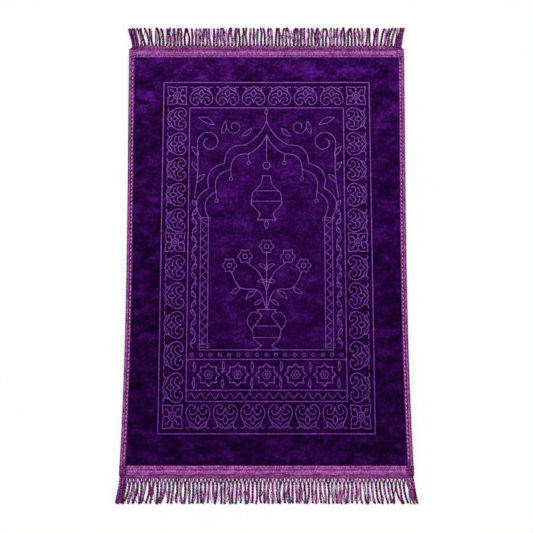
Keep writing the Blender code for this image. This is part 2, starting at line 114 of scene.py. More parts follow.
# Leaves as root, tip and how far their middle stands off, for one half of the niche
LEAVES = (
    ((0.030, -0.098), (0.056, -0.118), 0.26),
    ((0.074, -0.088), (0.100, -0.104), -0.26),
    ((0.012, -0.124), (0.034, -0.138), 0.26),
    ((0.0, -0.070), (0.026, -0.072), 0.24),
    ((0.0, -0.036), (0.022, -0.022), 0.24),
    ((0.199, 0.212), (0.176, 0.236), -0.24),
    ((0.196, 0.246), (0.214, 0.272), 0.24),
    ((0.195, 0.290), (0.214, 0.318), 0.24),
    ((0.150, 0.382), (0.196, 0.404), 0.20),
    ((0.128, 0.354), (0.118, 0.394), 0.20),
    ((0.070, 0.348), (0.042, 0.372), 0.20),
)

# Across the tapes: how far in from the outer edge, and the height there, both in millimetres
BINDING_HEIGHTS = (
    *((2.5, 6.7), (4.2, 7.0), (5.8, 7.1), (7.4, 6.4), (8.8, 5.7)),
    *((10.2, 5.9), (12.2, 6.5), (14.2, 6.5), (16.4, 5.4)),
)
FAR_TAPE_HEIGHTS = (
    *((3.0, 6.5), (6.0, 6.8), (9.5, 6.7), (12.0, 7.0), (14.4, 6.7), (17.2, 6.9)),
    *((19.0, 6.6), (20.4, 5.8), (21.9, 6.5), (24.4, 6.8), (26.6, 5.8)),
)
NEAR_TAPE_HEIGHTS = (
    *((3.0, 6.5), (5.4, 6.9), (8.0, 6.7), (11.0, 7.0), (13.6, 6.8), (15.0, 6.4)),
    *((16.2, 5.8), (17.6, 6.5), (19.8, 6.9), (21.6, 6.7), (24.4, 6.8), (26.6, 5.8)),
)

# The same with paleness from 0 to 1 in place of height: painted highlight where the top stands up,
# painted shade in its grooves and at its edges
BINDING_TONES = (
    *((0.0, 0.05), (2.0, 0.10), (3.6, 0.36), (5.4, 0.74), (6.8, 0.60), (8.4, 0.12)),
    *((9.8, 0.10), (11.4, 0.45), (13.0, 0.60), (14.2, 0.46), (15.4, 0.22), (16.6, 0.05)),
)
FAR_TAPE_TONES = (
    *((0.0, 0.34), (1.8, 0.30), (3.4, 0.32), (5.6, 0.34), (8.0, 0.54), (10.2, 0.62)),
    *((12.0, 0.86), (13.8, 0.52), (15.8, 0.64), (17.8, 0.58), (19.2, 0.28)),
    *((20.4, 0.02), (21.7, 0.36), (23.4, 0.60), (25.2, 0.68), (26.8, 0.45)),
)
NEAR_TAPE_TONES = (
    *((0.0, 0.58), (1.5, 0.54), (3.0, 0.52), (5.2, 0.68), (7.4, 0.50), (9.2, 0.60)),
    *((11.1, 0.86), (12.9, 0.56), (14.6, 0.34), (16.2, 0.02), (17.7, 0.40)),
    *((19.5, 0.62), (21.4, 0.42), (23.2, 0.58), (25.2, 0.68), (26.8, 0.45)),
)

# Colours of the two yarns: painted shade between the plies, usual, painted highlight where it catches
# the light, palest
THREAD_TONES = (
    *((0.080, 0.010, 0.072), (0.300, 0.075, 0.300)),
    *((0.600, 0.250, 0.590), (0.700, 0.330, 0.680)),
)
YARN_TONES = (
    *((0.014, 0.0003, 0.012), (0.088, 0.004, 0.078)),
    *((0.295, 0.048, 0.285), (0.620, 0.345, 0.600)),
)


# ------------------------------------------------------------------ lines in plan


@dataclass(frozen=True)
class Stroke:
    """One pressed line of the design.

    Attributes:
        points: Its middle line in plan, one row for each point, in metres.
        half: Half of the width of its flat bottom.
        straight: Whether the points are corners of straight runs.
    """

    points: Array
    half: float
    straight: bool = False

    @property
    def closed(self) -> bool:
        """Whether the line ends where it starts."""
        return bool(np.allclose(self.points[0], self.points[-1]))


def smooth(points: Array, steps: int = 10) -> Array:
    """Draw a Catmull-Rom curve through some points.

    Each span is the cubic whose slopes at its ends are half the chord across both neighbours.

    Args:
        points: The points that it passes through, one a row.
        steps: Parts in each span.

    Returns:
        The curve's points, the last one included.
    """
    knots = np.asarray(points, float)
    if np.allclose(knots[0], knots[-1]):
        padded = np.vstack([knots[-2:-1], knots, knots[1:2]])
    else:
        padded = np.vstack([2 * knots[0] - knots[1], knots, 2 * knots[-1] - knots[-2]])
    t = np.linspace(0, 1, steps, endpoint=False)[None, :, None]
    a, b, c, d = (padded[i : len(padded) - 3 + i][:, None] for i in range(4))
    bend = (2 * a - 5 * b + 4 * c - d) * t**2 + (3 * b - a - 3 * c + d) * t**3
    spans = 0.5 * (2 * b + (c - a) * t + bend)
    return np.vstack([spans.reshape(-1, 2), knots[-1:]])


def banded(bands: Bands, inset: Array) -> Array:
    """Value of the smooth curve through a table of bands, at places in metres."""
    places, values = smooth(np.array(bands), 6).T
    return np.interp(inset / MM, places, values)


def spaced(points: Array, step: float, corners: bool) -> Array:
    """Space points evenly along a line.

    Args:
        points: The line, one point a row.
        step: The longest distance between two points.
        corners: Whether every given point is kept.

    Returns:
        The new points, from the line's start to its end.
    """
    lengths = np.linalg.norm(np.diff(points, axis=0), axis=1)
    reached = np.concatenate([[0], np.cumsum(lengths)])
    if corners:
        parts = np.maximum(np.ceil(lengths / step).astype(int), 1)
        runs = [np.linspace(a, b, n, endpoint=False) for a, b, n in zip(reached, reached[1:], parts)]
        places = np.concatenate([*runs, reached[-1:]])
    else:
        places = np.linspace(0, reached[-1], max(int(math.ceil(reached[-1] / step)), 2) + 1)
    return np.column_stack([np.interp(places, reached, points[:, k]) for k in range(2)])


def quarter_turns(turns: int) -> Array:
    """Matrix that turns rows of points anticlockwise by quarter turns."""
    angle = turns * math.pi / 2
    return np.array([[math.cos(angle), math.sin(angle)], [-math.sin(angle), math.cos(angle)]])


def polar(centre: Pair, reach: Array, angle: Array) -> Array:
    """Points at reaches and angles from a centre."""
    return np.array(centre) + reach[:, None] * np.column_stack([np.cos(angle), np.sin(angle)])


def spiral(centre: Pair, start: float, end: float, turn: float) -> Array:
    """Draw a spiral that starts to the right of its centre.

    Its radius goes evenly from one value to the other while its angle goes round.

    Args:
        centre: Its centre.
        start: Its first radius.
        end: Its last radius.
        turn: How far it turns anticlockwise, in degrees.

    Returns:
        Its points, 15 degrees apart or less.
    """
    steps = int(abs(turn) // 15) + 1
    angles = np.radians(np.linspace(0, turn, steps + 1))
    return polar(centre, np.linspace(start, end, steps + 1), angles)


def ring(centre: Pair, radius: float) -> Array:
    """Draw a closed ring round a centre."""
    return spiral(centre, radius, radius, 360)


def leaf(root: Pair, tip: Pair, bulge: float) -> Array:
    """Draw a leaf of two bowed edges.

    Each edge stands off the straight line from root to tip by a sine, the lower one by half as
    much and on the other side.

    Args:
        root: Where it grows from.
        tip: Its point.
        bulge: How far its fuller edge stands off, as a share of its length.

    Returns:
        Its closed outline.
    """
    a, b = np.array(root), np.array(tip)
    across = np.array([a[1] - b[1], b[0] - a[0]]) * bulge
    t = np.linspace(0, 1, 7)[:, None]
    edge = a + (b - a) * t
    upper = edge + across * np.sin(math.pi * t)
    lower = edge - 0.5 * across * np.sin(math.pi * t)
    return np.vstack([upper, lower[::-1][1:]])


def bell(place: Array, centre: float | Array, width: float) -> Array:
    """Bell curve, exp(-((place - centre) / width) ** 2)."""
    return np.exp(-(((place - centre) / width) ** 2))


def wave(start: Pair, length: float, height: float, period: float) -> Array:
    """Draw a sine along Y, x = x0 + height * sin(turns), from a start and of a length."""
    y = np.linspace(0, length, int(length / period * 16) + 1)
    return np.array(start) + np.column_stack([height * np.sin(FULL_TURN * y / period), y])


def flourish(start: Pair, length: float, height: float, period: float) -> Array:
    """Draw the same sine along X."""
    return wave((start[1], start[0]), length, height, period)[:, ::-1]


@dataclass(frozen=True)
class RugPlan:
    """The rug's outline in plan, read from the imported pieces, in metres.

    Attributes:
        half: Half of the width over the tapes at the corners.
        far_edge: Y of the cloth's far edge.
        near_edge: Y of the cloth's near edge.
        far_tip: Y of the far fringe's tips.
        near_tip: Y of the near fringe's tips.
        tape_width: Width of an end tape.
        pile_top: Height of the pile.
        binding_width: Width of a side binding.
        waist_depth: How far each long side draws in at its middle.
        waist_skew: How much more of that lies on the near half.
    """

    half: float
    far_edge: float
    near_edge: float
    far_tip: float
    near_tip: float
    tape_width: float
    pile_top: float
    binding_width: float = 16.4 * MM
    waist_depth: float = 7.0 * MM
    waist_skew: float = 0.65

    @classmethod
    def from_frame(cls) -> "RugPlan":
        """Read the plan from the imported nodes' boxes.

        Returns:
            The plan.
        """
        far_low, far_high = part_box("end_tape_far")
        near_low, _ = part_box("end_tape_near")
        return cls(
            half=far_high[0],
            far_edge=far_high[1],
            near_edge=near_low[1],
            far_tip=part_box("fringe_far")[1][1],
            near_tip=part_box("fringe_near")[0][1],
            tape_width=far_high[1] - far_low[1],
            pile_top=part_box("pile_panel")[1][2],
        )

    def edge(self, sign: int) -> float:
        """Y of the cloth's far edge for 1, and of its near edge for -1."""
        return self.far_edge if sign > 0 else self.near_edge

    def half_width(self, y: Array) -> Array:
        """Work out half the rug's width: straight sides less a soft waist.

        Args:
            y: Places along the rug.

        Returns:
            Half the width at each place.
        """
        middle = (self.far_edge + self.near_edge) / 2
        reach = (self.far_edge - self.near_edge) / 2
        t = np.clip((y - middle) / reach, -1, 1)
        return self.half - self.waist_depth * (1 - t * t) * (1 - self.waist_skew * t)

    def loop(self, side_inset: float, end_inset: float, step: float) -> Array:
        """Walk round the outline, drawn in from its sides and ends.

        Args:
            side_inset: How far in from the long sides.
            end_inset: How far in from the short ends.
            step: About how far apart the points are.

        Returns:
            Points anticlockwise, without the first one again.
        """
        low, high = self.near_edge + end_inset, self.far_edge - end_inset
        along = int((self.far_edge - self.near_edge) / step)
        across = int(2 * self.half / step)
        y = np.linspace(low, high, along + 1)
        x = self.half_width(y) - side_inset
        share = np.linspace(0, 1, across + 1)[1:-1]
        far = np.column_stack([x[-1] * (1 - 2 * share), np.full(across - 1, high)])
        near = np.column_stack([x[0] * (2 * share - 1), np.full(across - 1, low)])
        right, left = np.column_stack([x, y]), np.column_stack([-x, y])[::-1]
        return np.vstack([right, far, left, near])


@dataclass(frozen=True)
class Ripple:
    """Small unevenness: a sum of plane waves whose directions and starts are steady.

    Attributes:
        length: Their usual wavelength.
        height: About the largest value.
        seed: Which directions and starts they have.
        count: How many waves are added.
    """

    length: float
    height: float
    seed: int
    count: int = 7

    def at(self, x: Array, y: Array) -> Array:
        """Add up the waves.

        Args:
            x: One coordinate of the places.
            y: The other one.

        Returns:
            The sum at each place.
        """
        draw = np.random.default_rng(self.seed)
        angle = draw.uniform(0, FULL_TURN, self.count)
        start = draw.uniform(0, FULL_TURN, self.count)
        rate = FULL_TURN / (self.length * draw.uniform(0.7, 1.5, self.count))
        phase = np.multiply.outer(x, rate * np.cos(angle))
        phase = phase + np.multiply.outer(y, rate * np.sin(angle))
        return self.height / math.sqrt(self.count) * np.sin(phase + start).sum(axis=-1)


# ------------------------------------------------------------------ meshes


def grid_quads(rows: int, columns: int, wrap: bool) -> Array:
    """Index the quads of a grid of points.

    Args:
        rows: Points along the grid.
        columns: Points across it.
        wrap: Whether the last column meets the first one.

    Returns:
        One row of four point numbers for each quad.
    """
    row, column = np.meshgrid(np.arange(rows - 1), np.arange(columns - (not wrap)), indexing="ij")
    beside = (column + 1) % columns
    corners = (row * columns + column, row * columns + beside)
    return np.stack([*corners, corners[1] + columns, corners[0] + columns], axis=-1).reshape(-1, 4)


@dataclass
class Shape:
    """Points and faces of one surface, with a value or two at each point.

    Attributes:
        points: One point a row.
        faces: Lists of point numbers.
        values: Named values, one for each point.
        yarn: Place along and round the surface for each point, for its UV map.
    """

    points: Array
    faces: list[list[int]]
    values: dict[str, Array]
    yarn: Array | None = None

    def outward(self) -> "Shape":
        """Turn the faces over if the closed surface's signed volume is negative.

        Returns:
            The shape itself.
        """
        fans = [(f[0], f[i], f[i + 1]) for f in self.faces for i in range(1, len(f) - 1)]
        a, b, c = (self.points[np.array(fans)[:, k]] for k in range(3))
        if (a * np.cross(b, c)).sum() < 0:
            self.faces = [face[::-1] for face in self.faces]
        return self


def joined(shapes: list[Shape]) -> Shape:
    """Put several shapes into one.

    Args:
        shapes: The shapes, which have the same named values.

    Returns:
        All of them as one shape.
    """
    starts = np.cumsum([0] + [len(shape.points) for shape in shapes]).tolist()
    faces = [[start + i for i in face] for start, s in zip(starts, shapes) for face in s.faces]
    values = {key: np.concatenate([s.values[key] for s in shapes]) for key in shapes[0].values}
    yarn = np.vstack([shape.yarn for shape in shapes])
    return Shape(np.vstack([shape.points for shape in shapes]), faces, values, yarn)


def tubes(grid: Array, values: dict[str, Array], yarn: Array) -> Shape:
    """Skin many closed tubes that have the same count of rings and points.

    Args:
        grid: Points as an array of tube, ring, point in the ring, and x, y, z.
        values: Named values for each of those points.
        yarn: Place along and round for each of those points.

    Returns:
        All the tubes as one shape, with flat ends and faces outwards.
    """
    count, rings, around = grid.shape[:3]
    first = np.arange(count)[:, None, None] * rings * around
    skin = (grid_quads(rings, around, wrap=True)[None] + first).reshape(-1, 4)
    start = (np.arange(around)[None] + first[:, 0]).tolist()
    end = (np.arange(around)[::-1][None] + first[:, 0] + (rings - 1) * around).tolist()
    flat = {key: value.reshape(-1) for key, value in values.items()}
    faces = skin[:, ::-1].tolist() + start + end
    return Shape(grid.reshape(-1, 3), faces, flat, yarn.reshape(-1, 2)).outward()


def add_piece(name: str, shape: Shape, material: bpy.types.Material) -> bpy.types.Object:
    """Make an object of a shape, with its values as attributes and its UV map.

    Args:
        name: The piece's name.
        shape: Its surface.
        material: Its finish.

    Returns:
        The object, at the origin.
    """
    mesh = bpy.data.meshes.new(name)
    mesh.from_pydata(shape.points.tolist(), [], shape.faces)
    for key, value in shape.values.items():
        layer = mesh.attributes.new(key, "FLOAT", "POINT")
        layer.data.foreach_set("value", value.astype(np.float32))
    if shape.yarn is not None:
        corners = np.zeros(len(mesh.loops), np.int32)
        mesh.loops.foreach_get("vertex_index", corners)
        layer = mesh.uv_layers.new(name="yarn")
        layer.data.foreach_set("uv", shape.yarn[corners].astype(np.float32).ravel())
    mesh.polygons.foreach_set("use_smooth", np.ones(len(mesh.polygons), bool))
    mesh.materials.append(material)
    mesh.update()
    piece = bpy.data.objects.new(name, mesh)
    bpy.context.scene.collection.objects.link(piece)
    return piece


# ------------------------------------------------------------------ finishes


class Wire:
    """An output socket in a finish's tree, with the arithmetic of values."""

    def __init__(self, tree: "FinishTree", socket: bpy.types.NodeSocket) -> None:
        """Hold a tree's socket."""
        self.tree = tree
        self.socket = socket

    def __add__(self, other: "Wire | float") -> "Wire":
        """Sum of two values."""
        return self.tree.maths("ADD", self, other)

    def __sub__(self, other: "Wire | float") -> "Wire":
        """This value less another."""
        return self.tree.maths("SUBTRACT", self, other)

    def __rsub__(self, other: "Wire | float") -> "Wire":
        """A number less this value."""
        return self.tree.maths("SUBTRACT", other, self)

    def __mul__(self, other: "Wire | float") -> "Wire":
        """Product of two values."""
        return self.tree.maths("MULTIPLY", self, other)

    __radd__ = __add__
    __rmul__ = __mul__

    def sine(self) -> "Wire":
        """Sine of this value, in radians."""
        return self.tree.maths("SINE", self)

    def span(self, low: float, high: float) -> "Wire":
        """This value as a share of the way from low to high, kept from 0 to 1."""
        sockets = {"Value": self, "From Min": low, "From Max": high}
        return self.tree.wire("ShaderNodeMapRange", {"clamp": True}, sockets, "Result")


class FinishTree:
    """The node tree of one finish."""

    def __init__(self, name: str) -> None:
        """Start an empty tree in a new material.

        Args:
            name: The material's name.
        """
        self.material = bpy.data.materials.new(name)
        self.material.use_nodes = True
        self.material.node_tree.nodes.clear()

    def node(
        self, kind: str, settings: dict | None = None, inputs: dict | None = None
    ) -> bpy.types.Node:
        """Add a node.

        Args:
            kind: Its type.
            settings: Values of its own properties, and "stops" for a ramp's place and colour pairs.
            inputs: Values or wires for its sockets, by name or number.

        Returns:
            The node.
        """
        made = self.material.node_tree.nodes.new(kind)
        for name, value in (settings or {}).items():
            if name == "stops":
                self.set_stops(made.color_ramp, value)
            else:
                setattr(made, name, value)
        for key, value in (inputs or {}).items():
            if isinstance(value, Wire):
                self.material.node_tree.links.new(value.socket, made.inputs[key])
            else:
                made.inputs[key].default_value = value
        return made

    def wire(
        self, kind: str, settings: dict | None = None, inputs: dict | None = None, output: int | str = 0
    ) -> Wire:
        """Add a node in the same way and give back one of its outputs."""
        return Wire(self, self.node(kind, settings, inputs).outputs[output])

    @staticmethod
    def set_stops(ramp: bpy.types.ColorRamp, stops: list[tuple[float, Triple]]) -> None:
        """Give a ramp its stops.

        Args:
            ramp: The ramp.
            stops: Place and colour of each.
        """
        while len(ramp.elements) < len(stops):
            ramp.elements.new(1.0)
        for element, (place, colour) in zip(ramp.elements, stops):
            element.position = place
            element.color = (*colour, 1.0)

    def maths(self, operation: str, *values: "Wire | float") -> Wire:
        """Work out one operation on values."""
        return self.wire("ShaderNodeMath", {"operation": operation}, dict(enumerate(values)))

    def place(self) -> Wire:
        """Object coordinates, in metres."""
        return self.wire("ShaderNodeTexCoord", output="Object")

    def yarn(self) -> tuple[Wire, Wire]:
        """Place along and place round the surface, from the piece's UV map."""
        split = self.split(self.wire("ShaderNodeUVMap", {"uv_map": "yarn"}))
        return split[0], split[1]

    def split(self, vector: Wire) -> list[Wire]:
        """The three parts of a vector."""
        made = self.node("ShaderNodeSeparateXYZ", {}, {0: vector})
        return [Wire(self, socket) for socket in made.outputs]

    def joined(self, *parts: "Wire | float") -> Wire:
        """A vector of these parts."""
        return self.wire("ShaderNodeCombineXYZ", {}, dict(enumerate(parts)))

    def value(self, name: str) -> Wire:
        """A named value that the piece's points hold."""
        return self.wire("ShaderNodeAttribute", {"attribute_name": name}, output="Fac")

    def stretched(self, place: Wire, turn: float, scale: Triple) -> Wire:
        """Places turned about Z by degrees and scaled, for a pattern with a direction."""
        sockets = {"Vector": place, "Rotation": (0.0, 0.0, math.radians(turn)), "Scale": scale}
        return self.wire("ShaderNodeMapping", {}, sockets)

    def noise(self, place: Wire, size: float, detail: float = 2.0, rough: float = 0.5) -> Wire:
        """Noise whose patches are about a size in metres, as a value round 0.5."""
        sockets = {"Vector": place, "Scale": 1 / size, "Detail": detail, "Roughness": rough}
        return self.wire("ShaderNodeTexNoise", {}, sockets)

    def mix(self, share: "Wire | float", first: "Wire | tuple", second: "Wire | tuple") -> Wire:
        """Colour between two colours."""
        ends = [c if isinstance(c, Wire) else (*c, 1.0) for c in (first, second)]
        return self.wire("ShaderNodeMix", {"data_type": "RGBA"}, {0: share, 6: ends[0], 7: ends[1]}, 2)

    def ramp(self, share: Wire, stops: list[tuple[float, Triple]]) -> Wire:
        """Colour from a ramp."""
        return self.wire("ShaderNodeValToRGB", {"stops": stops}, {0: share})

    def bump(self, height: Wire, depth: float, strength: float = 1.0) -> Wire:
        """Normal of a surface raised by a height from 0 to 1 times a depth in metres."""
        sockets = {"Height": height, "Distance": depth, "Strength": strength}
        return self.wire("ShaderNodeBump", {}, sockets)

    def finish(self, inputs: dict) -> bpy.types.Material:
        """Close the tree with a Principled shader.

        Args:
            inputs: Values or wires for the shader's sockets, by name.

        Returns:
            The finished material.
        """
        shader = self.node("ShaderNodeBsdfPrincipled", {}, {"Metallic": 0.0, **inputs})
        out = self.node("ShaderNodeOutputMaterial")
        self.material.node_tree.links.new(shader.outputs[0], out.inputs["Surface"])
        return self.material


@dataclass(frozen=True)
class PlushFinish:
    """Short dense pile, brushed in patches, paler and flatter where it is pressed.

    Attributes:
        deep: Colour in the darkest patches, and of the painted shade beside a pressed line and along
            the end tapes.
        body: Usual colour.
        light: Colour where the pile leans towards the light.
        pressed_dark: Darker colour of a pressed line.
        pressed_light: Lighter colour of a pressed line.
        patch: Size of the broad brushed patches.
        cloud: Size of the smaller ones within them.
        tuft: Size of the small clumps of pile.
        fibre: Size of single fibres' shine.
        ends: Y of the near and the far end of the two tables below.
        levels: Brightness of the pile outside the inner frame, as a share of the way from the
            near end to the far end and the value there; its rise towards the far end is painted light.
        field_lighting_levels: The same inside the inner frame, where the pile lies flatter, with the
            same painted light.
    """

    deep: Triple = (0.0072, 0.0004, 0.0190)
    body: Triple = (0.0364, 0.0020, 0.0810)
    light: Triple = (0.1120, 0.0090, 0.2590)
    pressed_dark: Triple = (0.125, 0.026, 0.245)
    pressed_light: Triple = (0.330, 0.100, 0.545)
    patch: float = 62 * MM
    cloud: float = 22 * MM
    tuft: float = 8.0 * MM
    fibre: float = 1.6 * MM
    ends: Pair = (-0.60, 0.60)
    levels: Bands = (
        *((0.05, 0.42), (0.12, 0.38), (0.38, 0.42), (0.50, 0.52), (0.62, 0.58)),
        *((0.75, 0.58), (0.84, 0.72), (0.91, 0.84), (0.98, 1.00)),
    )
    field_lighting_levels: Bands = (
        *((0.16, 0.54), (0.30, 0.64), (0.44, 0.72)),
        *((0.56, 0.72), (0.64, 0.86), (0.86, 0.92)),
    )

    def material(self) -> bpy.types.Material:
        """Build the finish.

        Returns:
            The material.
        """
        tree = FinishTree("plush_pile")
        place = tree.place()
        pressed, shade, field = (tree.value(name) for name in ("pressed", "shade", "field"))
        broad = tree.noise(tree.stretched(place, 32, (1.0, 1.8, 1.0)), self.patch, 2.0, 0.55)
        clouds = tree.noise(tree.stretched(place, -28, (1.0, 1.3, 1.0)), self.cloud, 2.0, 0.5)
        clumps = tree.noise(place, self.tuft, 3.0, 0.62)
        fibres = tree.noise(place, self.fibre, 2.0, 0.6)
        # The brushed patches are the pile's own lay; their paler and darker colour is painted sheen, as
        # the pile leans towards or away from the light.
        brushed = ((broad - 0.5) * 1.4 + (clouds - 0.5) * 0.9) * (1 - 0.3 * field)
        lean = brushed + (clumps - 0.5) * 1.3 + (fibres - 0.5) * 1.0
        share = (lean + 0.5).span(0.0, 1.0)
        pile = tree.ramp(share, [(0.0, self.deep), (0.5, self.body), (1.0, self.light)])
        # Painted light: the pile is darker at the near end and brighter towards the far end, by the
        # tables of levels.
        far = (tree.split(place)[1] + (broad - 0.5) * 0.12).span(*self.ends)
        tables = (self.levels, self.field_lighting_levels)
        greys = [[(at, (level, level, level)) for at, level in table] for table in tables]
        level = tree.mix(field, *(tree.ramp(far, stops) for stops in greys))
        pile = tree.mix(level, (0.0, 0.0, 0.0), pile)
        # Painted shade: darker beside the pressed lines and in the crevice along the end tapes.
        pile = tree.mix(shade * 0.70, pile, tuple(0.60 * channel for channel in self.deep))
        # The pressed lines grow paler towards the far end, painted light like the pile's; the rest of
        # their spread is random.
        shine = ((clumps - 0.5) * 2.0 + (fibres - 0.5) * 1.6 + 0.02 + far * 0.65).span(0.0, 1.0)
        line = tree.mix(shine, self.pressed_dark, self.pressed_light)
        height = fibres * (1 - 0.6 * pressed) + clumps * 1.6
        return tree.finish(
            {
                "Base Color": tree.mix(pressed, pile, line),
                "Roughness": 0.95 - 0.30 * pressed,
                "Specular IOR Level": 0.01,
                "Sheen Weight": 0.05,
                "Sheen Roughness": 0.4,
                "Sheen Tint": (0.42, 0.03, 0.85, 1.0),
                "Normal": tree.bump(height, 1.1 * MM, 0.85),
            }
        )


@dataclass(frozen=True)
class TapeFinish:
    """Woven tape with fine cross threads, painted paler on its ribs as highlight and darker in its
    grooves as shade.

    Attributes:
        deep: Colour of the painted shade in the grooves and folds.
        body: Usual colour.
        light: Colour of the painted highlight on the ribs.
        thread: Pitch of the cross threads.
        warp: Pitch of the threads that run along.
    """

    deep: Triple = (0.058, 0.003, 0.048)
    body: Triple = (0.252, 0.044, 0.250)
    light: Triple = (0.600, 0.165, 0.615)
    thread: float = 1.3 * MM
    warp: float = 0.9 * MM

    def material(self) -> bpy.types.Material:
        """Build the finish.

        Returns:
            The material.
        """
        tree = FinishTree("ribbed_tape")
        place, crest = tree.place(), tree.value("crest")
        along, across = tree.yarn()
        slub = tree.noise(place, 13 * MM, 2.0, 0.6)
        speck = tree.noise(place, 3.2 * MM, 2.0, 0.6)
        cross = tree.noise(tree.joined(along, across * 0.3), 2.8 * MM, 1.0)
        waver = (slub - 0.5) * 2.2
        weft = (along * (FULL_TURN / self.thread) + waver).sine() * 0.5 + 0.5
        warp = (across * (FULL_TURN / self.warp) + waver).sine() * 0.5 + 0.5
        uneven = (slub - 0.5) * 1.1 + (speck - 0.5) * 1.8 + (cross - 0.5) * 1.2 + (weft - 0.5) * 0.12
        # The crest values are painted light: highlight on the ribs, shade in the grooves, folds and
        # needle holes.
        stops = [(0.0, self.deep), (0.5, self.body), (1.0, self.light)]
        return tree.finish(
            {
                "Base Color": tree.ramp((crest + uneven).span(0.0, 1.0), stops),
                "Roughness": 0.72 - 0.14 * crest,
                "Specular IOR Level": 0.08,
                "Sheen Weight": 0.04,
                "Sheen Roughness": 0.45,
                "Sheen Tint": (0.90, 0.30, 0.95, 1.0),
                "Normal": tree.bump(weft * 0.7 + warp * 0.5 + speck * 0.6, 0.35 * MM, 0.9),
            }
        )


@dataclass(frozen=True)
class YarnFinish:
    """Twisted yarn, painted darker between its plies and underneath as shade, with fine fibres along
    each ply.

    Attributes:
        name: The material's name.
        deep: Colour of the painted shade between the plies and underneath.
        body: Usual colour.
        light: Colour where it catches the light.
        pale: Colour of its palest fibres.
        fibres: Fibre ridges round a strand.
        lay: Length along the strand in which the fibres move on by one ridge.
    """

    name: str
    deep: Triple
    body: Triple
    light: Triple
    pale: Triple
    fibres: int = 18
    lay: float = 2.2 * MM

    def material(self) -> bpy.types.Material:
        """Build the finish.

        Returns:
            The material.
        """
        tree = FinishTree(self.name)
        place, tone, crest = tree.place(), tree.value("tone"), tree.value("crest")
        along, around = tree.yarn()
        fuzz = tree.noise(place, 1.6 * MM, 2.0, 0.6)
        speck = tree.noise(place, 3.6 * MM, 2.0, 0.6)
        patch = tree.noise(place, 8 * MM, 2.0, 0.55)
        turns = around * (FULL_TURN * self.fibres) + along * (FULL_TURN / self.lay)
        ridges = (turns + (fuzz - 0.5) * 4).sine() * 0.5 + 0.5
        uneven = (patch - 0.5) * 0.6 + (speck - 0.5) * 0.9 + (fuzz - 0.5) * 0.5 + (ridges - 0.5) * 0.12
        # Painted light: crest makes the yarn paler where it stands up and faces up, darker between the
        # plies and underneath.
        share = crest * 0.45 + tone * 0.45 + uneven
        stops = [(0.0, self.deep), (0.46, self.body), (0.82, self.light), (1.0, self.pale)]
        return tree.finish(
            {
                "Base Color": tree.ramp((share + 0.06).span(0.0, 1.0), stops),
                "Roughness": 0.78 - 0.10 * crest,
                "Specular IOR Level": 0.05,
                "Sheen Weight": 0.04,
                "Sheen Roughness": 0.4,
                "Sheen Tint": (0.80, 0.20, 0.80, 1.0),
                "Normal": tree.bump(ridges * 0.6 + fuzz, 0.30 * MM, 0.8),
            }
        )


@dataclass(frozen=True)
class FloorFinish:
    """Plain matt near-white floor.

    Attributes:
        colour: Its colour.
    """

    colour: Triple = (0.93, 0.93, 0.93)

    def material(self) -> bpy.types.Material:
        """Build the finish.

        Returns:
            The material.
        """
        tree = FinishTree("pale_floor")
        grain = tree.noise(tree.place(), 0.6, 1.0)
        paler = tuple(min(1.0, channel + 0.01) for channel in self.colour)
        colour = tree.mix(grain, self.colour, paler)
        return tree.finish({"Base Color": colour, "Roughness": 0.9, "Specular IOR Level": 0.1})


# ------------------------------------------------------------------ the pressed design


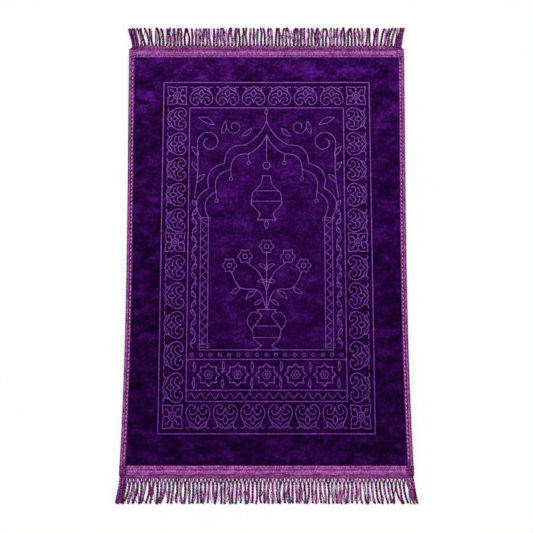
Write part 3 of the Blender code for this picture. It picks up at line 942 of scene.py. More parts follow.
@dataclass(frozen=True)
class BorderDesign:
    """Frame lines with hearts and rosettes between them, in metres.

    Attributes:
        outer: Half width, far and near place of the outer frame line.
        inner: The same for the inner frame line.
        column: X of the motifs along the sides.
        rows: Y of the far and near row.
        across: Hearts in a row, and their pitch.
        far_hearts: First heart down a side, and the pitch from there.
        near_hearts: First heart of the near half, its pitch, and how much each pitch grows.
        hearts_down: Hearts on each half of a side.
        heart: Width and height of a heart.
        near_heart_height: Height of a heart in the near row.
        rosette: Width of a rosette, and its length along Y.
        near_rosette_length: Length along Y of a near corner's rosette.
        middle_rosette: Y of the rosette half way down a side.
        line: Half width of a motif's line.
        frame_line: Half width of a frame line.
    """

    outer: Triple = (0.2966, 0.5087, -0.4896)
    inner: Triple = (0.2212, 0.4324, -0.4027)
    column: float = 0.2578
    rows: Pair = (0.4690, -0.4438)
    across: tuple[int, float] = (6, 0.0751)
    far_hearts: Pair = (0.3999, 0.0743)
    near_hearts: Triple = (-0.0324, 0.0787, 0.0030)
    hearts_down: int = 5
    heart: Pair = (0.0668, 0.0558)
    near_heart_height: float = 0.0664
    rosette: Pair = (0.0568, 0.0550)
    near_rosette_length: float = 0.0664
    middle_rosette: float = 0.0401
    line: float = 0.95 * MM
    frame_line: float = 1.2 * MM

    @staticmethod
    def heart_lines() -> list[Array]:
        """Lines of a heart in its 2 by 2 square."""
        tables = (HEART_ARM, HEART_SHOULDER, HEART_HOOK, HEART_LEAF, HEART_CURL, HEART_BUD)
        return [np.array(table) * (side, 1) for side in (1, -1) for table in tables]

    @staticmethod
    def rosette_lines() -> list[Array]:
        """Draw a rosette.

        Returns:
            Its lines in a 2 by 2 square.
        """
        quarters = ((1, 1), (-1, 1), (-1, -1), (1, -1))
        edge, curl = np.array(ROSETTE_PETAL), np.array(ROSETTE_CURL)
        lines = [line * q for line in (edge, edge[:, ::-1], curl) for q in quarters]
        lines += [np.array(ROSETTE_NOTCH) @ quarter_turns(turns) for turns in range(4)]
        return lines + [ring((0, 0), radius) for radius in ROSETTE_RINGS]

    def placed(self, lines: list[Array], centre: Pair, size: Pair, turns: int = 0) -> list[Stroke]:
        """Put a motif in its place.

        Args:
            lines: Its lines, in a 2 by 2 square.
            centre: Where its centre goes.
            size: Its width and height before it is turned.
            turns: Quarter turns anticlockwise.

        Returns:
            Its strokes.
        """
        half, spin = np.array(size) / 2, quarter_turns(turns)
        moved = [(line * half) @ spin + np.array(centre) for line in lines]
        return [Stroke(smooth(line), self.line) for line in moved]

    def side_hearts(self) -> list[Pair]:
        """Set out the hearts down one side.

        Returns:
            Centre and length along Y of each.
        """
        first, pitch = self.far_hearts
        hearts = [(first - i * pitch, self.heart[0]) for i in range(self.hearts_down)]
        y, near_pitch, growth = self.near_hearts
        for i in range(self.hearts_down):
            step = near_pitch + i * growth
            hearts.append((y, self.heart[0] * step / pitch))
            y -= step
        return hearts

    def strokes(self) -> list[Stroke]:
        """Draw the border.

        Returns:
            All its strokes.
        """
        heart, rosette = self.heart_lines(), self.rosette_lines()
        count, pitch = self.across
        width, height = self.heart
        found: list[Stroke] = []
        for x in (np.arange(count) - (count - 1) / 2) * pitch:
            found += self.placed(heart, (x, self.rows[0]), (width, height))
            found += self.placed(heart, (x, self.rows[1]), (width, self.near_heart_height), 2)
        near_rosette = (self.rosette[0], self.near_rosette_length)
        for side, turns in ((-1, 1), (1, 3)):
            x = side * self.column
            for y, length in self.side_hearts():
                found += self.placed(heart, (x, y), (length, height), turns)
            found += self.placed(rosette, (x, self.rows[0]), self.rosette)
            found += self.placed(rosette, (x, self.middle_rosette), self.rosette)
            found += self.placed(rosette, (x, self.rows[1]), near_rosette)
        for x, far, near in (self.outer, self.inner):
            corners = np.array([(-x, near), (x, near), (x, far), (-x, far), (-x, near)])
            runs = zip(corners, corners[1:])
            found += [Stroke(np.array(run), self.frame_line, straight=True) for run in runs]
        return found


@dataclass(frozen=True)
class NicheDesign:
    """A plain niche: columns and arch, lamp, vase of flowers, scrolls and a band of stars.

    Attributes:
        inner: Half width of the field inside the frame lines, and its near place.
        columns: X of the two lines of each column.
        foot: Y where the columns stand.
        cusp: How far each arc of the arch stands off its chord.
        point: The same for the last arc, which draws in.
        star_band: Y of the two lines round the stars.
        stars: How many, and their pitch.
        star: Radius of a star, and of its inner corners as a share.
        blossom: Radius of a flower.
        rope: How far the rope in a column swings, and its period.
        vine: The same for the vine beside it.
        vine_turns: How many periods the vine has.
        line: Half width of a main line.
        fine: Half width of a fine line.
    """

    inner: Pair = (0.2212, -0.4027)
    columns: Pair = (0.186, 0.164)
    foot: float = -0.262
    cusp: float = 0.26
    point: float = -0.10
    star_band: Pair = (-0.288, -0.372)
    stars: tuple[int, float] = (5, 0.080)
    star: Pair = (0.031, 0.72)
    blossom: float = 0.018
    rope: Pair = (0.0058, 0.026)
    vine: Pair = (0.0062, 0.052)
    vine_turns: int = 8
    line: float = 1.0 * MM
    fine: float = 0.8 * MM

    def arch(self, corners: Bands) -> Array:
        """Draw a chain of arcs between cusps, each a parabola that stands off its chord.

        Args:
            corners: The cusps, from the springing to the top.

        Returns:
            The chain's points.
        """
        spans = []
        for i, (start, end) in enumerate(zip(corners, corners[1:])):
            a, b = np.array(start), np.array(end)
            bulge = self.cusp if i < len(corners) - 2 else self.point
            outward = np.array([b[1] - a[1], a[0] - b[0]])
            t = np.linspace(0, 1, 12, endpoint=False)[:, None]
            spans.append(a + (b - a) * t + outward * bulge * 4 * t * (1 - t))
        return np.vstack(spans + [np.array([corners[-1]])])

    def flower(self, centre: Pair, radius: float) -> list[Array]:
        """Draw a ring of petals, radius * (1 + 0.16 * cos(6 angle)), round a small ring.

        Args:
            centre: Its centre.
            radius: The usual radius of the petals.

        Returns:
            Both rings.
        """
        angle = np.linspace(0, FULL_TURN, 37)
        petals = polar(centre, radius * (1 + 0.16 * np.cos(6 * angle)), angle)
        return [petals, ring(centre, radius * 0.36)]

    def star_outline(self, centre: Pair) -> Array:
        """Draw an eight-pointed star.

        Args:
            centre: Its centre.

        Returns:
            Its closed outline.
        """
        radius, waist = self.star
        corner = np.arange(17)
        reach = radius * np.where(corner % 2 == 0, 1, waist)
        return polar(centre, reach, np.radians(corner * 22.5))

    def half_curves(self) -> tuple[list[Array], list[Array]]:
        """Draw the curved lines of the right half.

        Returns:
            The main ones and the fine ones.
        """
        main = [self.arch(ARCH_OUTER), self.arch(ARCH_INNER)]
        main += [spiral(SCROLL_CENTRE, 0.034, 0.012, 430), smooth(SCROLL_STEM)]
        main += [smooth(LOW_BRANCH), smooth(HIGH_BRANCH)]
        main += [line for centre in BLOSSOMS[:2] for line in self.flower(centre, self.blossom)]
        middle = sum(self.columns) / 2
        rope_foot, rope_top = self.foot + 0.020, ARCH_OUTER[0][1] - 0.012
        fine = [wave((middle, rope_foot), rope_top - rope_foot, *self.rope)]
        vine_x, vine_foot = (self.columns[0] + self.inner[0]) / 2, self.foot + 0.004
        swing, period = self.vine
        fine.append(wave((vine_x, vine_foot), period * self.vine_turns, swing, period))
        for i in range(2 * self.vine_turns):
            side = 1 if i % 2 == 0 else -1
            root = (vine_x + side * swing, vine_foot + (i + 0.5) * period / 2)
            fine.append(leaf(root, (vine_x - side * 0.007, root[1] + 0.016), side * 0.26))
        fine.append(spiral(SMALL_SCROLL_CENTRE, 0.022, 0.008, -400))
        fine += [leaf(*entry) for entry in LEAVES]
        fine += [smooth(VASE_HANDLE), smooth(LAMP_DROP)]
        for x, y in ARCH_INNER[1:4]:
            fine.append(np.array([(x, y), (x - 0.001, y - 0.022)]))
            fine.append(ring((x - 0.001, y - 0.027), 0.005))
        return main, fine

    def half_runs(self) -> tuple[list[Array], list[Array]]:
        """Draw the straight lines of the right half: the columns, their capitals and feet.

        Returns:
            The main ones and the fine ones.
        """
        springing = ARCH_OUTER[0][1]
        main = [np.array([(x, self.foot), (x, springing)]) for x in self.columns]
        outer, inner = self.columns[0] + 0.006, self.columns[1] - 0.006
        levels = (springing - 0.002, springing - 0.009, self.foot + 0.008, self.foot + 0.016)
        return main, [np.array([(inner, y), (outer, y)]) for y in levels]

    def middle_lines(self) -> tuple[list[Array], list[Array], list[Array]]:
        """Draw the lines that stand on the middle.

        Returns:
            Straight main ones, curved main ones and fine ones.
        """
        runs = [np.array([(-self.columns[0], self.foot), (self.columns[0], self.foot)])]
        runs += [np.array([(-self.inner[0], y), (self.inner[0], y)]) for y in self.star_band]
        runs += [np.array(STEM), np.array([(0.0, 0.272), (0.0, ARCH_INNER[-1][1])])]
        count, pitch = self.stars
        level = sum(self.star_band) / 2
        places = (np.arange(count) - (count - 1) / 2) * pitch
        runs += [self.star_outline((x, level)) for x in places]
        for profile in (LAMP, VASE):
            right = np.array(profile)
            runs.append(np.vstack([right, (right * (-1, 1))[::-1], right[:1]]))
        curves = [ring((0.0, 0.262), 0.010), *self.flower(BLOSSOMS[2], self.blossom)]
        fine = [line for x in places for line in self.flower((x, level), 0.011)]
        between = (places[1:] + places[:-1]) / 2
        for x in (*between, places[0] - pitch / 2, places[-1] + pitch / 2):
            for side in (1, -1):
                fine.append(leaf((x, level + side * 0.036), (x, level + side * 0.012), 0.20))
        fine += [np.array([(-x, y), (x, y)]) for x, y in (*LAMP_BANDS, *VASE_BANDS)]
        reach = self.inner[0] - 0.006
        edge = (self.star_band[1] + self.inner[1]) / 2
        fine.append(flourish((-reach, edge), 2 * reach, 0.0075, 2 * reach / 16))
        dots = np.linspace(-reach + 0.008, reach - 0.008, 17)
        fine += [ring((x, (self.foot + self.star_band[0]) / 2), 0.0045) for x in dots]
        fine.append(np.array([(0.0, ARCH_OUTER[-1][1]), (0.0, 0.414)]))
        fine.append(leaf((0.0, 0.410), (0.0, 0.430), 0.22))
        return runs, curves, fine

    def strokes(self) -> list[Stroke]:
        """Draw the niche.

        Returns:
            All its strokes.
        """
        main, fine = self.half_curves()
        main_runs, fine_runs = self.half_runs()
        runs, curves, details = self.middle_lines()
        flip = np.array([-1, 1])
        found = [Stroke(line, self.line) for line in curves]
        found += [Stroke(line, self.line, straight=True) for line in runs]
        found += [Stroke(line, self.fine) for line in details]
        for lines, half, straight in (
            (main, self.line, False),
            (fine, self.fine, False),
            (main_runs, self.line, True),
            (fine_runs, self.fine, True),
        ):
            for line in lines:
                found += [Stroke(line, half, straight), Stroke(line * flip, half, straight)]
        return found


def clearance(points: Array, strokes: list[Stroke], reach: float) -> Array:
    """Measure how far points are from the edge of the nearest stroke.

    It is the distance to the nearest part of a middle line less that line's half width, so it is
    below 0 on a line's flat bottom.

    Args:
        points: Places in plan.
        strokes: The lines.
        reach: The largest value that matters.

    Returns:
        One value for each point, no larger than the reach.
    """
    order = np.argsort(points[:, 1])
    ranked = points[order]
    nearest = np.full(len(points), reach)
    for stroke in strokes:
        line, margin = stroke.points, reach + stroke.half
        (left, low), (right, high) = line.min(axis=0) - margin, line.max(axis=0) + margin
        first, last = np.searchsorted(ranked[:, 1], [low, high])
        x = ranked[first:last, 0]
        close = np.flatnonzero((x > left) & (x < right)) + first
        a, along = line[:-1], np.diff(line, axis=0)
        away = ranked[close][:, None] - a
        t = np.clip((away * along).sum(-1) / np.maximum((along**2).sum(-1), 1e-12), 0, 1)
        gap = np.linalg.norm(away - t[..., None] * along, axis=-1).min(axis=1) - stroke.half
        nearest[close] = np.minimum(nearest[close], gap)
    found = np.empty(len(points))
    found[order] = nearest
    return found


# ------------------------------------------------------------------ the pieces


class Piece(ABC):
    """A sub-assembly of the rug that builds its meshes and dresses them."""

    @abstractmethod
    def build(self) -> list[bpy.types.Object]:
        """Make the piece's objects in the frame."""

    @staticmethod
    def report(piece: bpy.types.Object) -> bpy.types.Object:
        """Log a finished object's name and its size in faces."""
        LOG.info("%s: %d faces", piece.name, len(piece.data.polygons))
        return piece


@dataclass
class PilePanel(Piece):
    """The plush cloth with its design pressed into the pile.

    The top is a net of triangles over points that follow the lines, at the height
    top - depth * exp(-(clearance / wall) ** 1.3), which is full depth on a line's bottom, plus a
    slight unevenness that fades out towards the rim.

    Attributes:
        plan: The rug's outline.
        strokes: The pressed lines.
        finish: The plush.
        field: Half width, far and near place of the field inside the inner frame.
        depth: How deep the lines are pressed.
        wall: How far the wall of a line reaches.
        lanes: Clearances at which points follow a line.
        curve_step: Distance between points along curves.
        run_step: Distance between points along straight lines.
        field_step: Distance between points away from lines.
        merge: Points nearer than this are made one.
        tape_wall: Thickness of the tapes at their outer edge, which the held rim clears.
        rim_bottom: Height of the held rim's underside.
        rim_top: Height of its top.
        under_ramp: Width of the slope from the floor up to the held rim.
        crest: The rounded crest, as how far in from the tapes and how high, in millimetres.
    """

    plan: RugPlan
    strokes: list[Stroke]
    finish: PlushFinish
    field: Triple
    depth: float = 2.6 * MM
    wall: float = 1.15 * MM
    lanes: tuple[float, ...] = (0.0, 0.8 * MM, 2.2 * MM)
    curve_step: float = 2.6 * MM
    run_step: float = 6.0 * MM
    field_step: float = 7.0 * MM
    merge: float = 0.62 * MM
    tape_wall: float = 1.6 * MM
    rim_bottom: float = 1.4 * MM
    rim_top: float = 4.4 * MM
    under_ramp: float = 8.0 * MM
    crest: Bands = (
        *((0.0, 4.4), (0.1, 5.4), (0.4, 6.2), (1.0, 6.8)),
        *((1.9, 7.15), (3.0, 7.4), (4.4, 7.5)),
    )

    def lane_points(self, stroke: Stroke) -> tuple[Array, Array]:
        """Spread points on lanes beside a stroke and round its open ends.

        Args:
            stroke: The pressed line.

        Returns:
            The points, and the clearance that each one should have.
        """
        step = self.run_step if stroke.straight else self.curve_step
        line = spaced(stroke.points, step, corners=stroke.straight)
        along = np.gradient(line, axis=0)
        if stroke.closed:
            along[0] = along[-1] = line[1] - line[-2]
        along /= np.linalg.norm(along, axis=1, keepdims=True)
        across = np.column_stack([-along[:, 1], along[:, 0]])
        offsets = np.array([stroke.half + lane for lane in self.lanes])
        sides = np.concatenate([-offsets[::-1], offsets])
        points = [(line[None] + across[None] * sides[:, None, None]).reshape(-1, 2)]
        wanted = [np.repeat(np.abs(sides) - stroke.half, len(line))]
        if not stroke.closed:
            fan = np.radians([-60, -20, 20, 60])
            ends = ((line[0], -along[0], across[0]), (line[-1], along[-1], across[-1]))
            for end, away, beside in ends:
                arc = np.outer(np.cos(fan), away) + np.outer(np.sin(fan), beside)
                points.append((end + offsets[:, None, None] * arc[None]).reshape(-1, 2))
                wanted.append(np.repeat(offsets - stroke.half, len(fan)))
        return np.vstack(points), np.concatenate(wanted)

    def scattered(self, inset: float) -> Array:
        """Spread uneven points over the whole cloth.

        Args:
            inset: How far they stay away from the tapes.

        Returns:
            The points in plan.
        """
        draw = np.random.default_rng(11)
        x = np.arange(-self.plan.half, self.plan.half, self.field_step)
        y = np.arange(self.plan.near_edge, self.plan.far_edge, self.field_step)
        field = np.stack(np.meshgrid(x, y), axis=-1).reshape(-1, 2)
        field += draw.uniform(-0.3, 0.3, field.shape) * self.field_step
        side = self.plan.binding_width + inset
        end = self.plan.tape_width + inset
        keep = np.abs(field[:, 0]) < self.plan.half_width(field[:, 1]) - side
        keep &= (field[:, 1] < self.plan.far_edge - end) & (field[:, 1] > self.plan.near_edge + end)
        return field[keep]

    def thinned(self, points: Array) -> Array:
        """Keep one point in each cell of two fine grids that are half a cell apart.

        Args:
            points: All the points.

        Returns:
            Those that are kept, in the same order.
        """
        for shift in (0.0, 0.5):
            cells = np.floor(points / self.merge + shift).astype(np.int64)
            _, first = np.unique(cells, axis=0, return_index=True)
            points = points[np.sort(first)]
        return points

    def net(self, border: Array) -> tuple[Array, Array]:
        """Triangulate the top inside its border.

        Args:
            border: The loop round it.

        Returns:
            The points in plan, the border's first, and the triangles.
        """
        found, wanted = zip(*(self.lane_points(stroke) for stroke in self.strokes))
        lanes, wanted_all = np.vstack(found), np.concatenate(wanted)
        slack = 0.2 * MM
        lanes = lanes[clearance(lanes, self.strokes, 8 * MM) >= wanted_all - slack]
        field = self.scattered(self.crest[-1][0] * MM + 3 * MM)
        field = field[clearance(field, self.strokes, 8 * MM) > self.lanes[-1] + 2.4 * MM]
        inner = self.thinned(np.vstack([lanes, field]))
        points = np.vstack([border, inner])
        loop = list(range(len(border)))
        edges = list(zip(loop, loop[1:] + loop[:1]))
        flat = [Vector(point) for point in points.tolist()]
        places, _, triangles, sources, _, _ = delaunay_2d_cdt(flat, edges, [], 0, 1e-6, True)
        places = np.array([tuple(place) for place in places])
        triangles = np.array(triangles)
        origin = np.array([source[0] if source else -1 for source in sources])
        order = np.argsort(np.where(origin >= 0, origin, len(points)), kind="stable")
        rank = np.empty(len(order), int)
        rank[order] = np.arange(len(order))
        places, triangles = places[order], rank[triangles]
        middle = places[triangles].mean(axis=1)
        inset = np.abs(border[0, 0] - self.plan.half_width(border[0, 1]))
        inside = np.abs(middle[:, 0]) < self.plan.half_width(middle[:, 1]) - inset + 1e-6
        return places, triangles[inside]

    def top(self, border: Array) -> Shape:
        """Work out the top's heights and shades.

        Args:
            border: The loop round it.

        Returns:
            The top, the border's points first.
        """
        places, triangles = self.net(border)
        gap = clearance(places, self.strokes, 12 * MM)
        past = np.maximum(gap, 0)
        sunk = np.exp(-((past / self.wall) ** 1.3))
        edge = self.plan.half_width(places[:, 1]) - self.plan.binding_width - np.abs(places[:, 0])
        ends = (self.plan.far_edge - places[:, 1], places[:, 1] - self.plan.near_edge)
        rim = np.minimum(edge, np.minimum(*ends) - self.plan.tape_width) - self.crest[-1][0] * MM
        ease = np.clip(rim / (25 * MM), 0, 1)
        x, y = places.T
        uneven = Ripple(90 * MM, 0.28 * MM, 3).at(x, y) + Ripple(26 * MM, 0.14 * MM, 4).at(x, y)
        height = self.plan.pile_top - self.depth * sunk + uneven * ease * (1 - 0.5 * sunk)
        height += 0.12 * MM * Ripple(9 * MM, 1.0, 5).at(x, y) * (sunk > 0.99)
        pressed = np.clip(1 - past / (0.7 * MM), 0, 1)
        # Painted shade on the pile beside each pressed line, fading over a few millimetres.
        flank_shade = bell(past, 0.0, 3.0 * MM) * (1 - pressed)
        side, far, near = self.field
        within = np.minimum(side - np.abs(x), np.minimum(far - y, y - near))
        soft, border_width = 4 * MM, 75.5 * MM
        field = np.clip(0.5 + within / soft, 0, 1)
        field = np.maximum(field, 0.38 * np.clip(0.5 + (within + border_width) / soft, 0, 1))
        values = {"pressed": pressed, "shade": np.maximum(flank_shade, self.tape_crevice_shade(x, y)), "field": field}
        return Shape(np.column_stack([places, height]), triangles.tolist(), values)

    def tape_crevice_shade(self, x: Array, y: Array) -> Array:
        """Paint shade on the pile in the crevice along the end tapes, in patches at the far one.

        Args:
            x: X of the places.
            y: Y of the places.

        Returns:
            Shades from 0 to 1.
        """
        gap = np.minimum(self.plan.far_edge - y, y - self.plan.near_edge) - self.plan.tape_width
        patchy = np.clip(0.55 + 0.75 * Ripple(55 * MM, 1.0, 61).at(x, 0 * x), 0, 1)
        return 0.95 * np.where(y > 0, patchy, 1.0) * bell(np.maximum(gap, 0), 0.0, 5.5 * MM)

    def build(self) -> list[bpy.types.Object]:
        """Make the cloth: the underside, the held rim, the rounded crest and the top.

        Returns:
            The cloth.
        """
        edge = self.tape_wall + SPACING
        side, end = self.plan.binding_width + SPACING, self.plan.tape_width + SPACING
        levels = [
            (side + self.under_ramp, end + self.under_ramp, 0.0),
            (side, end, self.rim_bottom),
            (edge, edge, self.rim_bottom),
            (edge, edge, self.rim_top),
        ]
        levels += [(side + inset * MM, end + inset * MM, height * MM) for inset, height in self.crest]
        rings = []
        for side_inset, end_inset, height in levels:
            loop = self.plan.loop(side_inset, end_inset, 5 * MM)
            rings.append(np.column_stack([loop, np.full(len(loop), height)]))
        top = self.top(rings[-1][:, :2])
        around = len(rings[0])
        top.points[:around, 2] = self.plan.pile_top
        walls = np.vstack(rings[:-1])
        first = len(walls)
        quads = grid_quads(len(rings), around, wrap=True).tolist()
        faces = [list(range(around))[::-1], *quads]
        faces += [[first + i for i in face] for face in top.faces]
        plain = np.zeros(first)
        below = {"pressed": plain, "shade": self.tape_crevice_shade(*walls[:, :2].T), "field": plain}
        values = {key: np.concatenate([below[key], top.values[key]]) for key in below}
        shape = Shape(np.vstack([walls, top.points]), faces, values)
        piece = add_piece("plush_cloth", shape, self.finish.material())
        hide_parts("pile_panel")
        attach(piece, "root")
        return [self.report(piece)]


@dataclass
class FoldedTape(Piece):
    """Tape folded round an edge of the rug, and the stitches that hold it.

    A point of the tape is given by how far along the edge it is, how far in from the edge, and
    its height. The section is closed: underside, half-round outer roll, uneven top, inner edge
    and the slot that holds the cloth's rim.

    Attributes:
        name: The tape's name.
        node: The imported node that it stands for.
        plan: The rug's outline.
        finish: The tape's finish.
        thread: The stitches' finish.
        width: How wide it is on top.
        under: How wide it is underneath.
        roll: Radius in plan of the outer roll.
        height: Height of the outer roll.
        wall: Thickness at the outer edge.
        slot: Lower and upper height of the slot.
        step: Distance between sections.
        pitch: Length of a stitch from hole to hole.
        strand: Half of the width of a stitch.
    """

    name: str
    node: str
    plan: RugPlan
    finish: TapeFinish
    thread: YarnFinish
    width: float
    under: float
    roll: float
    height: float
    wall: float = 1.6 * MM
    slot: Pair = (1.1 * MM, 4.7 * MM)
    step: float = 2.0 * MM
    pitch: float = 11.2 * MM
    strand: float = 0.95 * MM

    @abstractmethod
    def placed(self, along: Array, inset: Array, height: Array) -> Array:
        """Turn places on the tape into points of the frame."""

    @abstractmethod
    def top_height(self, along: Array, inset: Array) -> Array:
        """Height of the tape's top at places on it."""

    @abstractmethod
    def crest(self, along: Array, inset: Array) -> Array:
        """How pale the tape is at places on it, from 0 to 1."""

    @abstractmethod
    def stations(self) -> Array:
        """Places along the edge of the sections."""

    @abstractmethod
    def stitches(self) -> tuple[Array, Array, Array]:
        """Start and end of each stitch, as how far along and how far in, and its paleness."""

    def closing(self, along: Array) -> Array:
        """How full the section is at places along the edge: 1 but at closed ends."""
        return np.ones_like(along)

    def section(self) -> tuple[Array, Array, Array]:
        """Lay out one closed section.

        Returns:
            How far in each point is, its height where that is set, and which points lie on top.
        """
        turn = np.linspace(-math.pi / 2, math.pi / 2, 11)[1:-1]
        roll_in = self.roll * (1 - np.cos(turn))
        roll_up = self.height / 2 * (1 + np.sin(turn))
        top_in = np.linspace(self.roll, self.width - 0.5 * MM, self.top_points())
        low, high = self.slot
        rest_in = [self.width, self.width, self.wall, self.wall, self.under, self.under, self.roll]
        rest_up = [high + 0.5 * MM, high, high, low, low, 0.0, 0.0]
        inset = np.concatenate([roll_in, top_in, rest_in])
        height = np.concatenate([roll_up, np.zeros(len(top_in)), rest_up])
        on_top = np.zeros(len(inset), bool)
        on_top[len(roll_in) : len(roll_in) + len(top_in)] = True
        return inset, height, on_top

    def top_points(self) -> int:
        """Points across the top of a section, about 0.45 mm apart."""
        return int(self.width / (0.45 * MM))

    def body(self) -> Shape:
        """Skin the tape through its sections.

        Returns:
            The tape.
        """
        inset, height, on_top = self.section()
        along = self.stations()[:, None]
        grid_in = np.broadcast_to(inset, (len(along), len(inset))).copy()
        grid_along = np.broadcast_to(along, grid_in.shape)
        grid_up = np.where(on_top, self.top_height(grid_along, grid_in), height)
        full = self.closing(grid_along)
        middle = self.height / 2
        grid_up = middle + (grid_up - middle) * full
        slot_points = (inset == self.wall) & ~on_top
        grid_in = np.where(slot_points & (full < 0.999), self.width - 0.1 * MM, grid_in)
        points = self.placed(grid_along, grid_in, grid_up)
        tone = self.crest(grid_along, grid_in)
        # Painted shade: off the top, paleness fades down the outer roll and is nil on the underside,
        # the slot and the inner edge.
        down = (height / self.height) ** 1.5 * (inset < self.roll + MM)
        pale = np.where(on_top, tone, tone * down)
        around = np.concatenate([[0], np.cumsum(np.hypot(np.diff(inset), np.diff(height)))])
        yarn = np.stack([grid_along, np.broadcast_to(around, grid_in.shape)], axis=-1)
        return tubes(points[None], {"crest": pale[None]}, yarn[None])

    def threads(self) -> Shape:
        """Make the stitches: short arched threads whose ends sink into the tape.

        Along a stitch its height over the tape is 0.60 * sqrt(sin) - 0.30 mm, so that both ends
        are in the cloth, and its section is an ellipse.

        Returns:
            All the stitches as one shape.
        """
        start, end, pale = self.stitches()
        t = np.linspace(0, 1, 8)[None, :, None]
        middle = start[:, None] + (end - start)[:, None] * t
        arch = np.sqrt(np.clip(np.sin(math.pi * t[..., 0]), 0, 1))
        lift = self.top_height(middle[..., 0], middle[..., 1]) + (0.60 * arch - 0.30) * MM
        direction = (end - start) / np.linalg.norm(end - start, axis=1, keepdims=True)
        beside = np.column_stack([-direction[:, 1], direction[:, 0]])[:, None, None]
        turn = np.linspace(0, FULL_TURN, 7)[:-1]
        high = 0.55 * MM
        reach = self.strand * np.cos(turn)[:, None] * (0.45 + 0.55 * arch)[..., None, None]
        flat = middle[:, :, None] + beside * reach
        up = lift[..., None] + high * np.sin(turn)
        points = self.placed(flat[..., 0], flat[..., 1], up)
        uneven = np.random.default_rng(5).uniform(-0.25, 0.25, len(start))
        tone = np.broadcast_to((pale + uneven)[:, None, None], up.shape)
        # Painted highlight on the top of each stitch's arch, painted shade where its ends sink in.
        crest = np.broadcast_to(0.35 + 0.65 * arch[..., None], up.shape)
        yarn = np.stack(np.broadcast_arrays(t * self.pitch, turn / FULL_TURN), axis=-1)
        yarn = np.broadcast_to(yarn, (*up.shape, 2))
        return tubes(points, {"tone": tone, "crest": crest}, yarn)

    def build(self) -> list[bpy.types.Object]:
        """Make the tape and its stitches.

        Returns:
            Both.
        """
        tape = add_piece(self.name, self.body(), self.finish.material())
        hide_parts(self.node)
        stitching = add_piece(f"{self.name}_stitches", self.threads(), self.thread.material())
        for piece in (tape, stitching):
            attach(piece, "root")
            self.report(piece)
        return [tape, stitching]


class Side(Enum):
    """The two long sides, by the sign of X."""

    LEFT = -1
    RIGHT = 1


class End(Enum):
    """The two short ends, by the sign of Y."""

    NEAR = -1
    FAR = 1


@dataclass
class SideBinding(FoldedTape):
    """Binding along one long side, with one row of stitches in a groove.

    Its top is a rounded outer welt, a stitched groove and a rounded inner strip, drawn as a
    smooth curve through a table of heights, less a bell at each needle hole.

    Attributes:
        side: Which long side.
        row: How far in the stitches run.
        holes: How far in the needle holes are.
    """

    side: Side = Side.LEFT
    row: float = 12.0 * MM
    holes: float = 10.6 * MM

    def placed(self, along: Array, inset: Array, height: Array) -> Array:
        """Turn places on the binding into points of the frame."""
        x = self.side.value * (self.plan.half_width(along) - inset)
        return np.stack(np.broadcast_arrays(x, along, height), axis=-1)

    def hole(self, along: Array, inset: Array) -> Array:
        """How near a place is to a needle hole, from 0 to 1."""
        off = ((along / self.pitch + 0.5) % 1 - 0.5) * self.pitch
        return bell(off, 0.0, 1.9 * MM) * bell(inset, self.holes, 2.4 * MM)

    def top_height(self, along: Array, inset: Array) -> Array:
        """Height of the binding's top."""
        uneven = Ripple(35 * MM, 0.16 * MM, 21).at(along, inset * 0.6)
        return banded(BINDING_HEIGHTS, inset) * MM + uneven - 0.9 * MM * self.hole(along, inset)

    def crest(self, along: Array, inset: Array) -> Array:
        """Paleness of the binding's top: painted highlight on the welt and strip, painted shade in the
        groove, at its edges and in the needle holes.
        """
        return np.clip(banded(BINDING_TONES, inset) - 0.6 * self.hole(along, inset), 0, 1)

    def stations(self) -> Array:
        """Space the sections from end tape to end tape.

        Returns:
            Y of each.
        """
        clear = self.plan.tape_width + SPACING
        low, high = self.plan.near_edge + clear, self.plan.far_edge - clear
        return np.linspace(low, high, int((high - low) / self.step) + 1)

    def stitches(self) -> tuple[Array, Array, Array]:
        """Set out the stitches from hole to hole, a little askew.

        Returns:
            Start, end and paleness of each.
        """
        places = self.stations() / self.pitch
        first, last = math.ceil(places[0]) + 1, math.floor(places[-1]) - 1
        hole = np.arange(first, last) * self.pitch
        askew = np.random.default_rng(31).uniform(-0.4, 0.4, (2, len(hole))) * MM
        start = np.column_stack([hole + 2.0 * MM, self.row - 0.7 * MM + askew[0]])
        end = np.column_stack([hole + self.pitch - 2.0 * MM, self.row + 0.7 * MM + askew[1]])
        return start, end, np.full(len(hole), 0.82)


